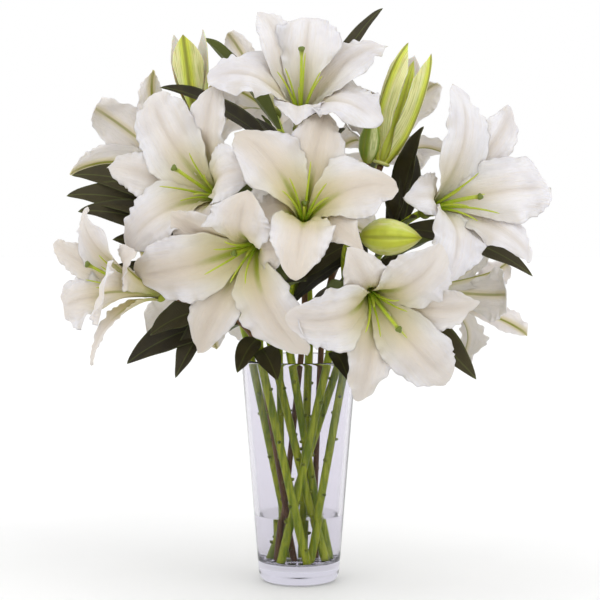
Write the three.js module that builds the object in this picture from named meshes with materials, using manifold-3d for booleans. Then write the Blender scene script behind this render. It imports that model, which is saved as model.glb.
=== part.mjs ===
import * as THREE from 'three';
import { mergeVertices } from 'three/addons/utils/BufferGeometryUtils.js';
import loadManifold from 'manifold-3d';

// A bunch of white lilies in a tapered glass vase, in millimetres with +Z up.
// The origin is the centre of the vase's underside, and the front of the bunch faces -Y.

const GAP = 0.3; // left between neighbouring pieces

// Vase and water
const VASE_HEIGHT = 225;
const RIM_RADIUS = 57.6;
const HEEL_RADIUS = 41; // outside, where the straight wall starts
const HEEL_HEIGHT = 14;
const FOOT_RADIUS = 34;
const RIM_WALL = 3.6;
const HEEL_WALL = 5.6;
const FLOOR_HEIGHT = 20;
const FLOOR_RADIUS = 32;
const WATER_LEVEL = 69;
const VASE_SEGMENTS = 30;

// Blooms: where the six tepals meet the flower stalk, and which way the flower faces.
// A tepal is [turn about the axis, reach from it, rise along it, arch above the rise, half width].
// Turn 0 is the viewer's right when the flower is seen from its front, and 90 is up.
const TEPAL_ARCH = 30;
const INNER_HALF_WIDTH = 31;
const OUTER_HALF_WIDTH = 22;
const TEPAL_NECK = 44; // how far a tepal runs up the tube before it opens out
const TEPAL_HALF_THICKNESS = 0.7;
const THROAT_RADIUS = 3.2;
const LAYER = 2.4; // the outer three tepals stand this much outside the inner three
const STEP_BACK = 6; // and leave the tube this much lower
const CUP_RADIUS = 7.4; // green-white seat that joins the tepals
const CUP_HALF_HEIGHT = 4;

const BLOOMS = {
  centre: {
    base: [4, -105, 359],
    axis: [0.05, -0.80, 0.60],
    inner: [[10, 88, 45], [132, 96, 52, 30, 31], [262, 90, 45, 30, 27]],
    outer: [[78, 100, 55, 30, 26], [192, 50, 25], [315, 75, 40, 30, 17]],
    style: 34,
  },
  top: {
    base: [1, -40, 452],
    axis: [0.02, -0.57, 0.82],
    inner: [[80, 73, 82], [180, 91, 60, 30, 36], [328, 90, 40, 30, 33]],
    outer: [[30, 99, 63, 30, 28], [121, 82, 92, 20, 19], [262, 60, 46]],
    style: 90,
  },
  upper_left: {
    base: [-71, -60, 384],
    axis: [-0.55, -0.77, 0.31],
    inner: [[130, 118, 52], [225, 92, 50], [15, 71, 50, 30, 28]],
    outer: [[88, 108, 50], [172, 115, 50], [292, 54, 40]],
    style: 86,
  },
  lower_left: {
    base: [-35, -100, 348],
    axis: [-0.45, -0.82, -0.30],
    inner: [[72, 68, 45], [189, 118, 50], [302, 112, 50]],
    outer: [[12, 54, 38], [150, 83, 40], [238, 118, 50]],
    style: 54,
  },
  lower_right: {
    base: [64, -100, 304],
    axis: [0.28, -0.85, -0.42],
    inner: [[58, 85, 50], [182, 96, 50], [314, 114, 50, 30, 28]],
    outer: [[4, 98, 50], [124, 80, 46], [264, 100, 50]],
  },
  right: {
    base: [121, -60, 373],
    axis: [0.68, -0.65, 0.34],
    inner: [[88, 104, 70, 30, 29], [358, 103, 75, 30, 31], [242, 92, 38]],
    outer: [[47, 115, 75, 30, 21], [171, 56, 25], [308, 95, 65, 30, 24]],
    style: 72,
    lean: -15,
  },
  far_left: {
    base: [-133, -66, 293],
    axis: [-0.86, -0.42, 0.22],
    inner: [[100, 69, 88, 15, 25], [217, 60, 76, 15], [343, 57, 78, 15]],
    outer: [[40, 55, 52], [156, 70, 97, 8, 15], [277, 81, 62, 10, 17]],
    style: 82,
    lean: 8,
    spread: 14,
  },
  back_left: {
    base: [-122, 20, 410],
    axis: [-0.50, 0.75, 0.43],
    inner: [[31, 88, 58, 30, 23], [150, 90, 52], [270, 90, 52]],
    outer: [[75, 92, 52, 30, 15], [205, 90, 52], [340, 92, 62, 30, 18]],
  },
  back_top: {
    base: [-25, 70, 468],
    axis: [-0.25, 0.75, 0.60],
    inner: [[50, 64, 76, 20, 13], [180, 88, 52], [300, 88, 52]],
    outer: [[0, 64, 44], [120, 74, 48], [240, 90, 50]],
  },
  back_right_low: {
    base: [127, 10, 292],
    axis: [0.80, 0.35, -0.10],
    inner: [[176, 52, 64, 15, 26], [296, 80, 60], [56, 70, 60]],
    outer: [[228, 48, 105, 5, 14], [348, 85, 60], [108, 42, 84, 15]],
    style: 60,
    spread: 7,
  },
  back_right_top: {
    base: [69, 38, 408],
    axis: [0.35, 0.45, 0.82],
    inner: [[157, 69, 92, 16, 20], [280, 80, 52], [40, 80, 52]],
    outer: [[100, 80, 52], [220, 80, 52], [340, 80, 52]],
  },
  back: {
    base: [1, 105, 364],
    axis: [0.05, 0.92, 0.30],
    inner: [[90, 95, 52], [210, 95, 52], [330, 95, 52]],
    outer: [[30, 95, 52], [150, 95, 52], [270, 95, 52]],
  },
  back_low: {
    base: [-70, 95, 302],
    axis: [-0.45, 0.80, -0.30],
    inner: [[90, 90, 52], [210, 95, 52], [330, 95, 52]],
    outer: [[30, 90, 52], [150, 90, 52], [270, 66, 60]],
  },
};

// Pistils: a style with its stigma, and six bare filaments around it. A bloom may set its own
// style length, how far the pistil leans up at its tip, and how far the filaments spread.
const STYLE_LENGTH = 95;
const PISTIL_SPREAD = 20;
const FILAMENT_COUNT = 6;
const FILAMENT_TURN = 20;
const FILAMENT_HEIGHT = 68;
const OVARY_RADIUS = 2.4;
const OVARY_HEIGHT = 12;

// Buds: where each meets its stalk. An opening bud has three sepals that spread by `open`.
const BUDS = {
  opening_right: { base: [80, -35, 418], axis: [0.30, 0.05, 0.95], length: 122, radius: 19, open: 16 },
  opening_left: { base: [-104, 20, 468], axis: [-0.08, 0, 1], length: 84, radius: 14, open: 20 },
  short: { base: [66, -58, 420], axis: [0.12, -0.10, 0.98], length: 46, radius: 10 },
  middle: { base: [60, -95, 351], axis: [0.97, -0.22, -0.02], length: 58, radius: 17 },
  back_right: { base: [72, 112, 345], axis: [0.5, 0.85, 0.1], length: 66, radius: 12 },
  back_left: { base: [-130, 70, 330], axis: [-0.75, 0.60, 0.25], length: 60, radius: 11 },
};

// Stems, named after the bloom at their end: where each stands on the vase's floor and where it
// passes the rim (x, y). `at` is the place along the stem above the rim, from 0 to 1.
// A stalk is [at, what it carries]. A spread leaf is [at, azimuth, elevation], and a reaching
// leaf is [at, its tip, half width].
const STALK_RADIUS = 3.2;
const GREEN_RADIUS = 4.4;
const BROWN_RADIUS = 3.2;
const STEMS = {
  back_left: {
    foot: [-6.5, 20],
    rim: [-48, -4],
    radius: GREEN_RADIUS,
    stalks: [[0.72, BUDS.opening_left]],
    spread: [[0.12, 150], [0.85, 280]],
    reaching: [
      [0.55, [-231, -8, 387], 20],
      [0.44, [-218, -24, 372], 20],
      [0.66, [-227, 6, 407], 18],
      [0.30, [-185, -14, 344], 18],
      [0.22, [-187, -50, 318], 9],
      [0.15, [-116, 30, 230], 15],
    ],
  },
  lower_left: {
    foot: [8, -26],
    rim: [-37, -30],
    radius: GREEN_RADIUS,
    spread: [[0.25, 300], [0.40, 210]],
    reaching: [[0.12, [-60, -66, 217], 11], [0.06, [-21, -80, 211], 13]],
  },
  upper_left: {
    foot: [24, -6.5],
    rim: [-25, -8],
    radius: GREEN_RADIUS,
    spread: [[0.10, 120], [0.85, 300]],
  },
  centre: {
    foot: [27, 2],
    rim: [-8, -10],
    radius: GREEN_RADIUS,
    spread: [[0.36, 270, 65], [0.50, 0], [0.85, 60]],
    reaching: [[0.32, [50, -45, 324], 17]],
  },
  back_top: {
    foot: [3, 21],
    rim: [10, 20],
    radius: GREEN_RADIUS,
    stalks: [[0.45, BLOOMS.back]],
    spread: [[0.12, 60], [0.25, 120], [0.45, 330, 65], [0.65, 210, 65]],
    reaching: [[0.90, [-98, 55, 546], 14], [0.75, [-137, -16, 494], 13]],
  },
  lower_right: {
    foot: [-17, -18.5],
    rim: [29, -18.5],
    radius: GREEN_RADIUS,
    stalks: [[0.50, BUDS.middle]],
    spread: [[0.08, 240], [0.20, 300], [0.32, 270], [0.45, 330], [0.70, 90]],
    reaching: [[0.05, [49, -70, 208], 9]],
  },
  right: {
    foot: [-25, 6],
    rim: [43, 8],
    radius: GREEN_RADIUS,
    spread: [[0.12, 60], [0.40, 30], [0.55, 300], [0.78, 90]],
    reaching: [[0.80, [231, -25, 308], 15], [0.70, [123, -20, 456], 20], [0.85, [113, 10, 433], 11]],
  },
  back_right_low: {
    foot: [10, -17],
    rim: [46.5, -13],
    radius: 4.2,
    spread: [[0.20, 30], [0.75, 300], [0.85, 30]],
    reaching: [[0.45, [174, -45, 208], 20], [0.35, [169, -24, 225], 12]],
  },
  top: {
    foot: [-20, -5],
    rim: [2, 8],
    radius: BROWN_RADIUS,
    spread: [[0.10, 330], [0.50, 300, 65], [0.60, 240]],
    reaching: [[0.95, [84, 20, 574], 10], [0.70, [-43, -10, 464], 13], [0.75, [46, -5, 454], 13]],
  },
  far_left: {
    foot: [-4, -6],
    rim: [-38, -17],
    radius: BROWN_RADIUS,
    reaching: [[0.35, [-170, -32, 222], 20], [0.50, [-121, -50, 210], 15], [0.60, [-146, -40, 251], 16]],
  },
  back_right_top: {
    foot: [14, 14],
    rim: [22, 17],
    radius: BROWN_RADIUS,
    stalks: [[0.60, BUDS.opening_right], [0.72, BUDS.short], [0.35, BUDS.back_right]],
    spread: [[0.25, 30], [0.45, 90], [0.70, 60], [0.90, 300]],
  },
  back_low: {
    foot: [-17.2, 22.5],
    rim: [-20, 30],
    radius: 4.0,
    stalks: [[0.60, BUDS.back_left]],
    spread: [[0.10, 60], [0.50, 60], [0.75, 210]],
  },
};

// How finely the pieces are faceted
const TEPAL_ROWS = 6;
const INNER_ACROSS = [-1, -0.42, 0.42, 1];
const OUTER_ACROSS = [-1, 0, 1];
const LEAF_ROWS = 5;
const LEAF_ACROSS = [-1, 0, 1];
const STEM_SIDES = 5;
const STALK_STEPS = 3;
const CUP_SIDES = 6;
const PISTIL_SIDES = 6;
const FILAMENT_STEPS = 2;
const STEM_STEPS = 5;

const UP = new THREE.Vector3(0, 0, 1);
const wasm = await loadManifold();
wasm.setup();

function smooth(from, to, value) {
  return THREE.MathUtils.smoothstep(value, from, to);
}

// A point moved by amounts along directions: shifted(p, [v, 3], [w, -2])
function shifted(point, ...moves) {
  const moved = point.clone();
  for (const [direction, amount] of moves) {
    moved.addScaledVector(direction, amount);
  }
  return moved;
}

function vector(numbers) {
  return new THREE.Vector3(...numbers);
}

// Solid handling

// A geometry with its coincident corners merged and its collapsed triangles dropped
function closed(geometry) {
  geometry.deleteAttribute('normal');
  geometry.deleteAttribute('uv');
  const merged = mergeVertices(geometry, 1e-3);
  const corners = merged.index.array;
  const kept = [];
  for (let i = 0; i < corners.length; i += 3) {
    const [a, b, c] = [corners[i], corners[i + 1], corners[i + 2]];
    if (a !== b && b !== c && c !== a) {
      kept.push(a, b, c);
    }
  }
  merged.setIndex(kept);
  return merged;
}

function geometryOf(points, triangles) {
  const geometry = new THREE.BufferGeometry();
  const numbers = points.flatMap((point) => point.toArray());
  geometry.setAttribute('position', new THREE.Float32BufferAttribute(numbers, 3));
  geometry.setIndex(triangles.flat());
  return geometry;
}

function solidOf(geometry) {
  return new wasm.Manifold(new wasm.Mesh({
    numProp: 3,
    vertProperties: new Float32Array(geometry.attributes.position.array),
    triVerts: new Uint32Array(geometry.index.array),
  }));
}

// The solids joined into one body; pockets sealed between them are filled
function fused(solids) {
  const whole = solids.reduce((joined, solid) => joined.add(solid));
  const bodies = whole.decompose();
  return bodies.reduce((largest, body) => (body.volume() > largest.volume() ? body : largest));
}

function meshOf(name, solid, material) {
  const { vertProperties, triVerts } = solid.getMesh();
  const geometry = new THREE.BufferGeometry();
  geometry.setAttribute('position', new THREE.BufferAttribute(vertProperties, 3));
  geometry.setIndex(new THREE.BufferAttribute(triVerts, 1));
  geometry.computeVertexNormals();
  const mesh = new THREE.Mesh(geometry, material);
  mesh.name = name;
  return mesh;
}

// Tubes and blades

// Rings of corners joined into a tube, flat at the start, and flat or pointed at the end
function skinned(rings, tip) {
  const sides = rings[0].length;
  const points = rings.flat();
  const triangles = [];
  for (let row = 0; row + 1 < rings.length; row += 1) {
    for (let k = 0; k < sides; k += 1) {
      const a = row * sides + k;
      const b = row * sides + ((k + 1) % sides);
      triangles.push([a, b, b + sides], [a, b + sides, a + sides]);
    }
  }
  for (let k = 1; k + 1 < sides; k += 1) {
    triangles.push([0, k + 1, k]);
  }
  const last = (rings.length - 1) * sides;
  if (tip) {
    points.push(tip);
    for (let k = 0; k < sides; k += 1) {
      triangles.push([last + k, last + ((k + 1) % sides), points.length - 1]);
    }
  } else {
    for (let k = 1; k + 1 < sides; k += 1) {
      triangles.push([last, last + k, last + k + 1]);
    }
  }
  return geometryOf(points, triangles);
}

// Rings of the given radii around a row of centres, turned along with the way they run
function ringsAlong(centres, ways, radii, sides) {
  let across = new THREE.Vector3().crossVectors(ways[0], new THREE.Vector3(0.3, 1, 0.1)).normalize();
  return centres.map((centre, row) => {
    const way = ways[row].clone().normalize();
    across = shifted(across, [way, -across.dot(way)]).normalize();
    const beside = new THREE.Vector3().crossVectors(way, across);
    return Array.from({ length: sides }, (_, k) => {
      const angle = (2 * Math.PI * k) / sides;
      return shifted(centre, [across, radii[row] * Math.cos(angle)], [beside, radii[row] * Math.sin(angle)]);
    });
  });
}

function taperedTube(curve, startRadius, endRadius, steps, sides) {
  const places = Array.from({ length: steps + 1 }, (_, k) => k / steps);
  return skinned(ringsAlong(
    places.map((at) => curve.getPoint(at)),
    places.map((at) => curve.getTangent(at)),
    places.map((at) => THREE.MathUtils.lerp(startRadius, endRadius, at)),
    sides,
  ));
}

// A thin blade from its middle surface: thickest along the midrib, sharp at both edges and the
// tip. surface(along, across) gives { point, normal }. Both faces are split into triangles alike.
function blade(surface, rows, across, halfThickness) {
  const columns = across.length;
  const rings = [];
  for (let row = 0; row + 1 < rows; row += 1) {
    const faces = across.map((side) => {
      const { point, normal } = surface(row / (rows - 1), side);
      const thickness = Math.abs(side) === 1 ? 0 : halfThickness * (1 - 0.35 * Math.abs(side));
      return [shifted(point, [normal, -thickness]), shifted(point, [normal, thickness])];
    });
    const under = faces.map(([lower]) => lower);
    const over = faces.slice(1, -1).map(([, upper]) => upper).reverse();
    rings.push([...under, ...over]);
  }
  const sides = rings[0].length;
  const tip = surface(1, 0).point;
  const points = [...rings.flat(), tip];
  const triangles = [];
  for (let row = 0; row + 2 < rows; row += 1) {
    for (let k = 0; k < sides; k += 1) {
      const a = row * sides + k;
      const b = row * sides + ((k + 1) % sides);
      const [c, d] = [b + sides, a + sides];
      if (k < columns - 1) {
        triangles.push([a, b, c], [a, c, d]);
      } else {
        triangles.push([a, b, d], [b, c, d]);
      }
    }
  }
  const last = (rows - 2) * sides;
  for (let k = 0; k < sides; k += 1) {
    triangles.push([last + k, last + ((k + 1) % sides), points.length - 1]);
  }
  const root = points.length;
  points.push(rings[0].reduce((sum, point) => sum.add(point), new THREE.Vector3()).divideScalar(sides));
  for (let k = 0; k < sides; k += 1) {
    triangles.push([(k + 1) % sides, k, root]);
  }
  return geometryOf(points, triangles);
}

// Flowers

// A flower's own directions: to the viewer's right, up, and along its axis
function flowerFrame({ base, axis }) {
  const along = vector(axis).normalize();
  const up = shifted(UP, [along, -UP.dot(along)]).normalize();
  const right = new THREE.Vector3().crossVectors(up, along);
  return { base: vector(base), right, up, along };
}

// A point at [right, up, along] in a flower's own directions
function placed(frame, [right, up, along]) {
  return shifted(frame.base, [frame.right, right], [frame.up, up], [frame.along, along]);
}

// A ring of corners square to a flower's axis
function ringAbout(frame, [right, up, along], radius, sides, turn = 0) {
  return Array.from({ length: sides }, (_, k) => {
    const angle = THREE.MathUtils.degToRad(turn + (360 / sides) * k);
    return placed(frame, [right + radius * Math.cos(angle), up + radius * Math.sin(angle), along]);
  });
}

function tepalShape([turn, reach, rise, arch = TEPAL_ARCH, halfWidth], isInner) {
  const root = isInner ? THROAT_RADIUS : THROAT_RADIUS + LAYER;
  const lower = isInner ? 0 : STEP_BACK;
  return {
    turn,
    isInner,
    halfWidth: halfWidth ?? (isInner ? INNER_HALF_WIDTH : OUTER_HALF_WIDTH),
    ruffle: isInner ? 3.2 : 1.8,
    curlBack: isInner ? 1.5 : 1.2,
    taper: isInner ? 0.62 : 0.85,
    line: [
      [root, 0],
      [root + 3.5, TEPAL_NECK - lower],
      [reach * 0.58, rise + arch - lower],
      [reach, rise],
    ],
  };
}

// One of the three sepals that stand round an opening bud, each a little shorter and wider open
function sepalShape({ length, radius, open }, k) {
  return {
    turn: 110 + 120 * k,
    isInner: false,
    halfWidth: 1.25 * radius,
    ruffle: 0.3,
    curlBack: 0.25,
    taper: 1.05,
    line: [
      [0.34 * radius, 0],
      [1.2 * radius, 0.25 * length],
      [1.15 * radius, 0.7 * length],
      [open * (0.75 + 0.25 * k), length * (0.98 - 0.03 * k)],
    ],
  };
}

// The middle surface of one tepal: a ribbon along a curve in the plane of the flower's axis,
// wrapped round the throat, curled back towards the tip, and ruffled along both edges. The line
// is [distance from the axis, height along it] at four handles.
function tepalSurface(frame, tepal) {
  const turn = THREE.MathUtils.degToRad(tepal.turn);
  const outward = shifted(new THREE.Vector3(), [frame.right, Math.cos(turn)], [frame.up, Math.sin(turn)]);
  const beside = shifted(new THREE.Vector3(), [frame.right, -Math.sin(turn)], [frame.up, Math.cos(turn)]);
  const line = new THREE.CubicBezierCurve(...tepal.line.map((handle) => new THREE.Vector2(...handle)));
  return (along, across) => {
    const middle = line.getPoint(along);
    const slope = line.getTangent(along);
    const width = Math.min(tepal.halfWidth * tepalOutline(along, tepal.taper), middle.x);
    const side = Math.abs(across);
    const bend = (1 - tepal.curlBack * smooth(0.2, 0.95, along)) / (middle.x + 9 * smooth(0.15, 0.5, along));
    const sweep = width * across * bend;
    const isFlat = Math.abs(bend) < 1e-5;
    const sideways = isFlat ? width * across : Math.sin(sweep) / bend;
    const hollow = isFlat ? 0 : (1 - Math.cos(sweep)) / bend;
    const ramp = smooth(0.25, 0.6, along) * (1 - 0.6 * smooth(0.88, 1, along));
    const phase = tepal.turn * 0.7 + (across > 0 ? 0 : 2.2);
    const ruffle = tepal.ruffle * ramp * side ** 2.2 * Math.sin(2 * Math.PI * 1.9 * along + phase);
    const away = shifted(new THREE.Vector3(), [outward, -slope.y], [frame.along, slope.x]);
    const point = shifted(
      frame.base,
      [outward, middle.x],
      [frame.along, middle.y],
      [beside, sideways],
      [away, hollow + ruffle],
    );
    const lean = THREE.MathUtils.clamp(sweep, -1.2, 1.2) * (1 - smooth(0.3, 0.6, along));
    const normal = shifted(new THREE.Vector3(), [away, Math.cos(lean)], [beside, -Math.sin(lean)]);
    return { point, normal };
  };
}

// Width along a tepal from 0 to 1: a narrow claw, widest just past the middle, and a tip that
// `taper` sharpens
function tepalOutline(along, taper) {
  if (along <= 0.55) {
    return 0.2 + 0.8 * Math.sin((Math.PI / 2) * (along / 0.55)) ** 1.7;
  }
  return Math.max(0, Math.cos((Math.PI / 2) * ((along - 0.55) / 0.45))) ** taper;
}

function tepalSolid(frame, tepal) {
  const across = tepal.isInner ? INNER_ACROSS : OUTER_ACROSS;
  return solidOf(blade(tepalSurface(frame, tepal), TEPAL_ROWS, across, TEPAL_HALF_THICKNESS));
}

function bloomSolid(bloom) {
  const frame = flowerFrame(bloom);
  const tepals = [
    ...bloom.inner.map((numbers) => tepalShape(numbers, true)),
    ...bloom.outer.map((numbers) => tepalShape(numbers, false)),
  ];
  const cup = skinned([
    ringAbout(frame, [0, 0, -CUP_HALF_HEIGHT], 0.62 * CUP_RADIUS, CUP_SIDES),
    ringAbout(frame, [0, 0, 0], CUP_RADIUS, CUP_SIDES),
    ringAbout(frame, [0, 0, CUP_HALF_HEIGHT], CUP_RADIUS, CUP_SIDES),
  ]);
  return fused([solidOf(cup), ...tepals.map((tepal) => tepalSolid(frame, tepal))]);
}

// The style swells into the ovary at its foot and into the stigma at its tip. Each filament
// leaves the middle of one face of the ovary's shoulder.
function pistilSolid(bloom) {
  const frame = flowerFrame(bloom);
  const { style = STYLE_LENGTH, lean = 0, spread = PISTIL_SPREAD } = bloom;
  const top = lean + 6;
  const rings = [
    [0, CUP_HALF_HEIGHT + GAP, OVARY_RADIUS],
    [0, OVARY_HEIGHT, OVARY_RADIUS],
    [0, OVARY_HEIGHT + 5, 1.7],
    [top, style - 3, 1.5],
    [top, style - 0.5, 3],
    [top, style + 2.2, 1.6],
  ].map(([up, along, radius]) =>
    ringAbout(frame, [0, up, along], radius, PISTIL_SIDES, FILAMENT_TURN + 180 / PISTIL_SIDES));
  const filaments = Array.from({ length: FILAMENT_COUNT }, (_, k) => {
    const angle = THREE.MathUtils.degToRad(FILAMENT_TURN + (360 / FILAMENT_COUNT) * k);
    const reach = spread + (k % 2 ? 5 : 0);
    const height = FILAMENT_HEIGHT + (k % 2 ? 5 : -5);
    const place = (out, tilt, along) =>
      placed(frame, [out * Math.cos(angle), out * Math.sin(angle) + tilt, along]);
    return solidOf(taperedTube(new THREE.CubicBezierCurve3(
      place(0.9, 0, OVARY_HEIGHT - 1),
      place(6, 0, STYLE_LENGTH * 0.3),
      place(0.45 * reach, 0.3 * lean, height * 0.72),
      place(reach, 0.7 * lean, height),
    ), 1.1, 0.8, FILAMENT_STEPS, 3));
  });
  return fused([solidOf(skinned(rings)), ...filaments]);
}

// Buds: a three-lobed spindle, slimmer inside three free sepals where the bud is opening
const BUD_OUTLINE = [
  [0, 0.34], [0.06, 0.54], [0.17, 0.78], [0.32, 0.97], [0.46, 1], [0.66, 0.84], [0.88, 0.40],
];
const BUD_SIDES = 9;

function budCore(frame, length, radius) {
  const rings = BUD_OUTLINE.map(([height, share], row) => Array.from({ length: BUD_SIDES }, (_, k) => {
    const angle = (2 * Math.PI * k) / BUD_SIDES;
    const lobe = row === 0 ? 1 : 1 + 0.07 * Math.cos(3 * angle);
    const out = radius * share * lobe;
    return placed(frame, [out * Math.cos(angle), out * Math.sin(angle), length * height]);
  }));
  return solidOf(skinned(rings, shifted(frame.base, [frame.along, length])));
}

function budSolid(bud) {
  const frame = flowerFrame(bud);
  if (!bud.open) {
    return budCore(frame, bud.length, bud.radius);
  }
  const raised = { ...frame, base: shifted(frame.base, [frame.along, 2]) };
  const sepals = [0, 1, 2].map((k) => tepalSolid(raised, sepalShape(bud, k)));
  const seat = skinned([0, CUP_HALF_HEIGHT].map((along) =>
    ringAbout(frame, [0, 0, along], 0.34 * bud.radius + 2, CUP_SIDES)));
  return fused([solidOf(seat), budCore(frame, 0.88 * bud.length, 0.62 * bud.radius), ...sepals]);
}

// Stems and leaves

// Where a stalk ends below what it carries
function seatOf(carried) {
  const { base, along } = flowerFrame(carried);
  const below = carried.inner ? CUP_HALF_HEIGHT + GAP : GAP;
  return { seat: shifted(base, [along, -below]), along };
}

function stemCurve(stem, bloom) {
  const foot = new THREE.Vector3(...stem.foot, FLOOR_HEIGHT + GAP);
  const rim = new THREE.Vector3(...stem.rim, VASE_HEIGHT);
  const way = shifted(rim, [foot, -1]).normalize();
  const { seat, along } = seatOf(bloom);
  const span = rim.distanceTo(seat);
  return new THREE.CubicBezierCurve3(
    rim,
    shifted(rim, [way, 0.4 * span]),
    shifted(seat, [along, -0.35 * span]),
    seat,
  );
}

function stalkCurve(curve, at, carried) {
  const start = curve.getPoint(at);
  const { seat, along } = seatOf(carried);
  const span = start.distanceTo(seat);
  return new THREE.CubicBezierCurve3(
    start,
    shifted(start, [curve.getTangent(at), 0.15 * span]),
    shifted(seat, [along, -0.35 * span]),
    seat,
  );
}

// The straight stretch that stands in the vase, cut level where it rests on the floor
function stemTube(stem, curve) {
  const foot = new THREE.Vector3(...stem.foot, FLOOR_HEIGHT + GAP);
  const way = shifted(curve.v0, [foot, -1]).normalize();
  const places = Array.from({ length: STEM_STEPS + 1 }, (_, k) => k / STEM_STEPS);
  const endRadius = Math.min(stem.radius, 3.6);
  const rings = ringsAlong(
    [foot, ...places.map((at) => curve.getPoint(at))],
    [way, ...places.map((at) => curve.getTangent(at))],
    [stem.radius, ...places.map((at) => THREE.MathUtils.lerp(stem.radius, endRadius, at))],
    STEM_SIDES,
  );
  rings[0] = rings[0].map((point) => shifted(point, [way, (foot.z - point.z) / way.z]));
  return solidOf(skinned(rings));
}

// Width along a leaf from 0 to 1: it clasps the stem, is widest before the middle, and ends in a point
function leafOutline(along) {
  if (along < 0.42) {
    return 0.1 + 0.9 * Math.sin((Math.PI / 2) * (along / 0.42));
  }
  return Math.max(0, Math.cos((Math.PI / 2) * ((along - 0.42) / 0.58))) ** 0.8;
}

// A leaf arches from the stem to its tip. It is folded along its midrib, and turned about its
// own length so that one broad side shows from the nearer side of the bunch.
function leafSolid(curve, at, tip, halfWidth) {
  const root = curve.getPoint(at);
  const span = shifted(tip, [root, -1]);
  const length = span.length();
  const way = span.clone().normalize();
  const lift = shifted(way, [curve.getTangent(at), 0.6]).normalize();
  const line = new THREE.CubicBezierCurve3(
    root,
    shifted(root, [lift, 0.33 * length]),
    shifted(root, [span, 0.7], [UP, 0.13 * length]),
    tip,
  );
  const level = new THREE.Vector3().crossVectors(UP, way).normalize();
  const roll = THREE.MathUtils.degToRad(58 * way.x * (tip.y < 30 ? 1 : -1));
  const surface = (along, across) => {
    const upper = new THREE.Vector3().crossVectors(line.getTangent(along), level).normalize();
    const beside = shifted(new THREE.Vector3(), [level, Math.cos(roll)], [upper, Math.sin(roll)]);
    const normal = shifted(new THREE.Vector3(), [upper, Math.cos(roll)], [level, -Math.sin(roll)]);
    const width = halfWidth * leafOutline(along);
    const side = Math.abs(across);
    const fold = 0.35 * width * side ** 1.3;
    const ramp = smooth(0.15, 0.4, along) * (1 - smooth(0.85, 1, along));
    const phase = tip.x * 0.1 + (across < 0 ? 0 : 1.9);
    const wave = ramp * side ** 1.5 * Math.sin(2 * Math.PI * 1.6 * along + phase);
    const point = shifted(line.getPoint(along), [beside, width * across], [normal, fold + wave]);
    return { point, normal };
  };
  return solidOf(blade(surface, LEAF_ROWS, LEAF_ACROSS, 0.6));
}

// A spread leaf's tip, further out and lower on the leaves near the rim
function spreadTip(curve, [at, azimuth, elevation]) {
  const turn = THREE.MathUtils.degToRad(azimuth);
  const rise = THREE.MathUtils.degToRad(elevation ?? 24 + 26 * at);
  const length = 114 - 34 * at;
  const tip = curve.getPoint(at);
  tip.x += length * Math.cos(turn) * Math.cos(rise);
  tip.y += length * Math.sin(turn) * Math.cos(rise);
  tip.z += length * Math.sin(rise) - 14;
  return tip;
}

function stemSolid(stem, bloom) {
  const curve = stemCurve(stem, bloom);
  const stalks = (stem.stalks ?? []).map(([at, carried]) => {
    const stalk = stalkCurve(curve, at, carried);
    return solidOf(taperedTube(stalk, STALK_RADIUS, STALK_RADIUS - 0.2, STALK_STEPS, STEM_SIDES));
  });
  const spread = (stem.spread ?? []).map((leaf) =>
    leafSolid(curve, leaf[0], spreadTip(curve, leaf), 15 - 3 * leaf[0]));
  const reaching = (stem.reaching ?? []).map(([at, tip, halfWidth]) =>
    leafSolid(curve, at, vector(tip), halfWidth));
  return fused([stemTube(stem, curve), ...stalks, ...spread, ...reaching]);
}

// Vase and water

// The radius of the vase's straight inner wall at a height
function innerRadius(height) {
  const share = (height - HEEL_HEIGHT) / (VASE_HEIGHT - HEEL_HEIGHT);
  return THREE.MathUtils.lerp(HEEL_RADIUS - HEEL_WALL, RIM_RADIUS - RIM_WALL, share);
}

function turned(profile) {
  const points = profile.map(([radius, height]) => new THREE.Vector2(radius, height));
  return solidOf(closed(new THREE.LatheGeometry(points, VASE_SEGMENTS).rotateX(Math.PI / 2)));
}

function vaseSolid() {
  const rimInside = RIM_RADIUS - RIM_WALL;
  return turned([
    [0, 0],
    [FOOT_RADIUS, 0],
    [FOOT_RADIUS + 4.4, 2.4],
    [HEEL_RADIUS - 0.6, 7.5],
    [HEEL_RADIUS, HEEL_HEIGHT],
    [RIM_RADIUS, VASE_HEIGHT - 2.4],
    [RIM_RADIUS - 0.7, VASE_HEIGHT - 0.6],
    [RIM_RADIUS - RIM_WALL / 2, VASE_HEIGHT],
    [rimInside + 0.7, VASE_HEIGHT - 0.6],
    [rimInside, VASE_HEIGHT - 2.4],
    [innerRadius(FLOOR_HEIGHT + 8), FLOOR_HEIGHT + 8],
    [FLOOR_RADIUS + 3, FLOOR_HEIGHT + 2.6],
    [FLOOR_RADIUS, FLOOR_HEIGHT],
    [0, FLOOR_HEIGHT],
  ]);
}

function waterSolid() {
  const body = turned([
    [0, FLOOR_HEIGHT + GAP],
    [FLOOR_RADIUS - GAP, FLOOR_HEIGHT + GAP],
    [FLOOR_RADIUS + 3 - GAP, FLOOR_HEIGHT + 2.6 + GAP],
    [innerRadius(FLOOR_HEIGHT + 8) - 1.5 * GAP, FLOOR_HEIGHT + 8],
    [innerRadius(WATER_LEVEL) - 1.5 * GAP, WATER_LEVEL],
    [0, WATER_LEVEL],
  ]);
  const holes = Object.values(STEMS).map((stem) => {
    const foot = new THREE.Vector3(...stem.foot, FLOOR_HEIGHT + GAP);
    const rim = new THREE.Vector3(...stem.rim, VASE_HEIGHT);
    const way = shifted(rim, [foot, -1]).normalize();
    const reach = WATER_LEVEL - FLOOR_HEIGHT;
    const ends = [shifted(foot, [way, -0.2 * reach]), shifted(foot, [way, 1.4 * reach])];
    const radius = stem.radius + 1.4 * GAP;
    return solidOf(skinned(ringsAlong(ends, [way, way], [radius, radius], STEM_SIDES)));
  });
  return holes.reduce((water, hole) => water.subtract(hole), body);
}

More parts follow.
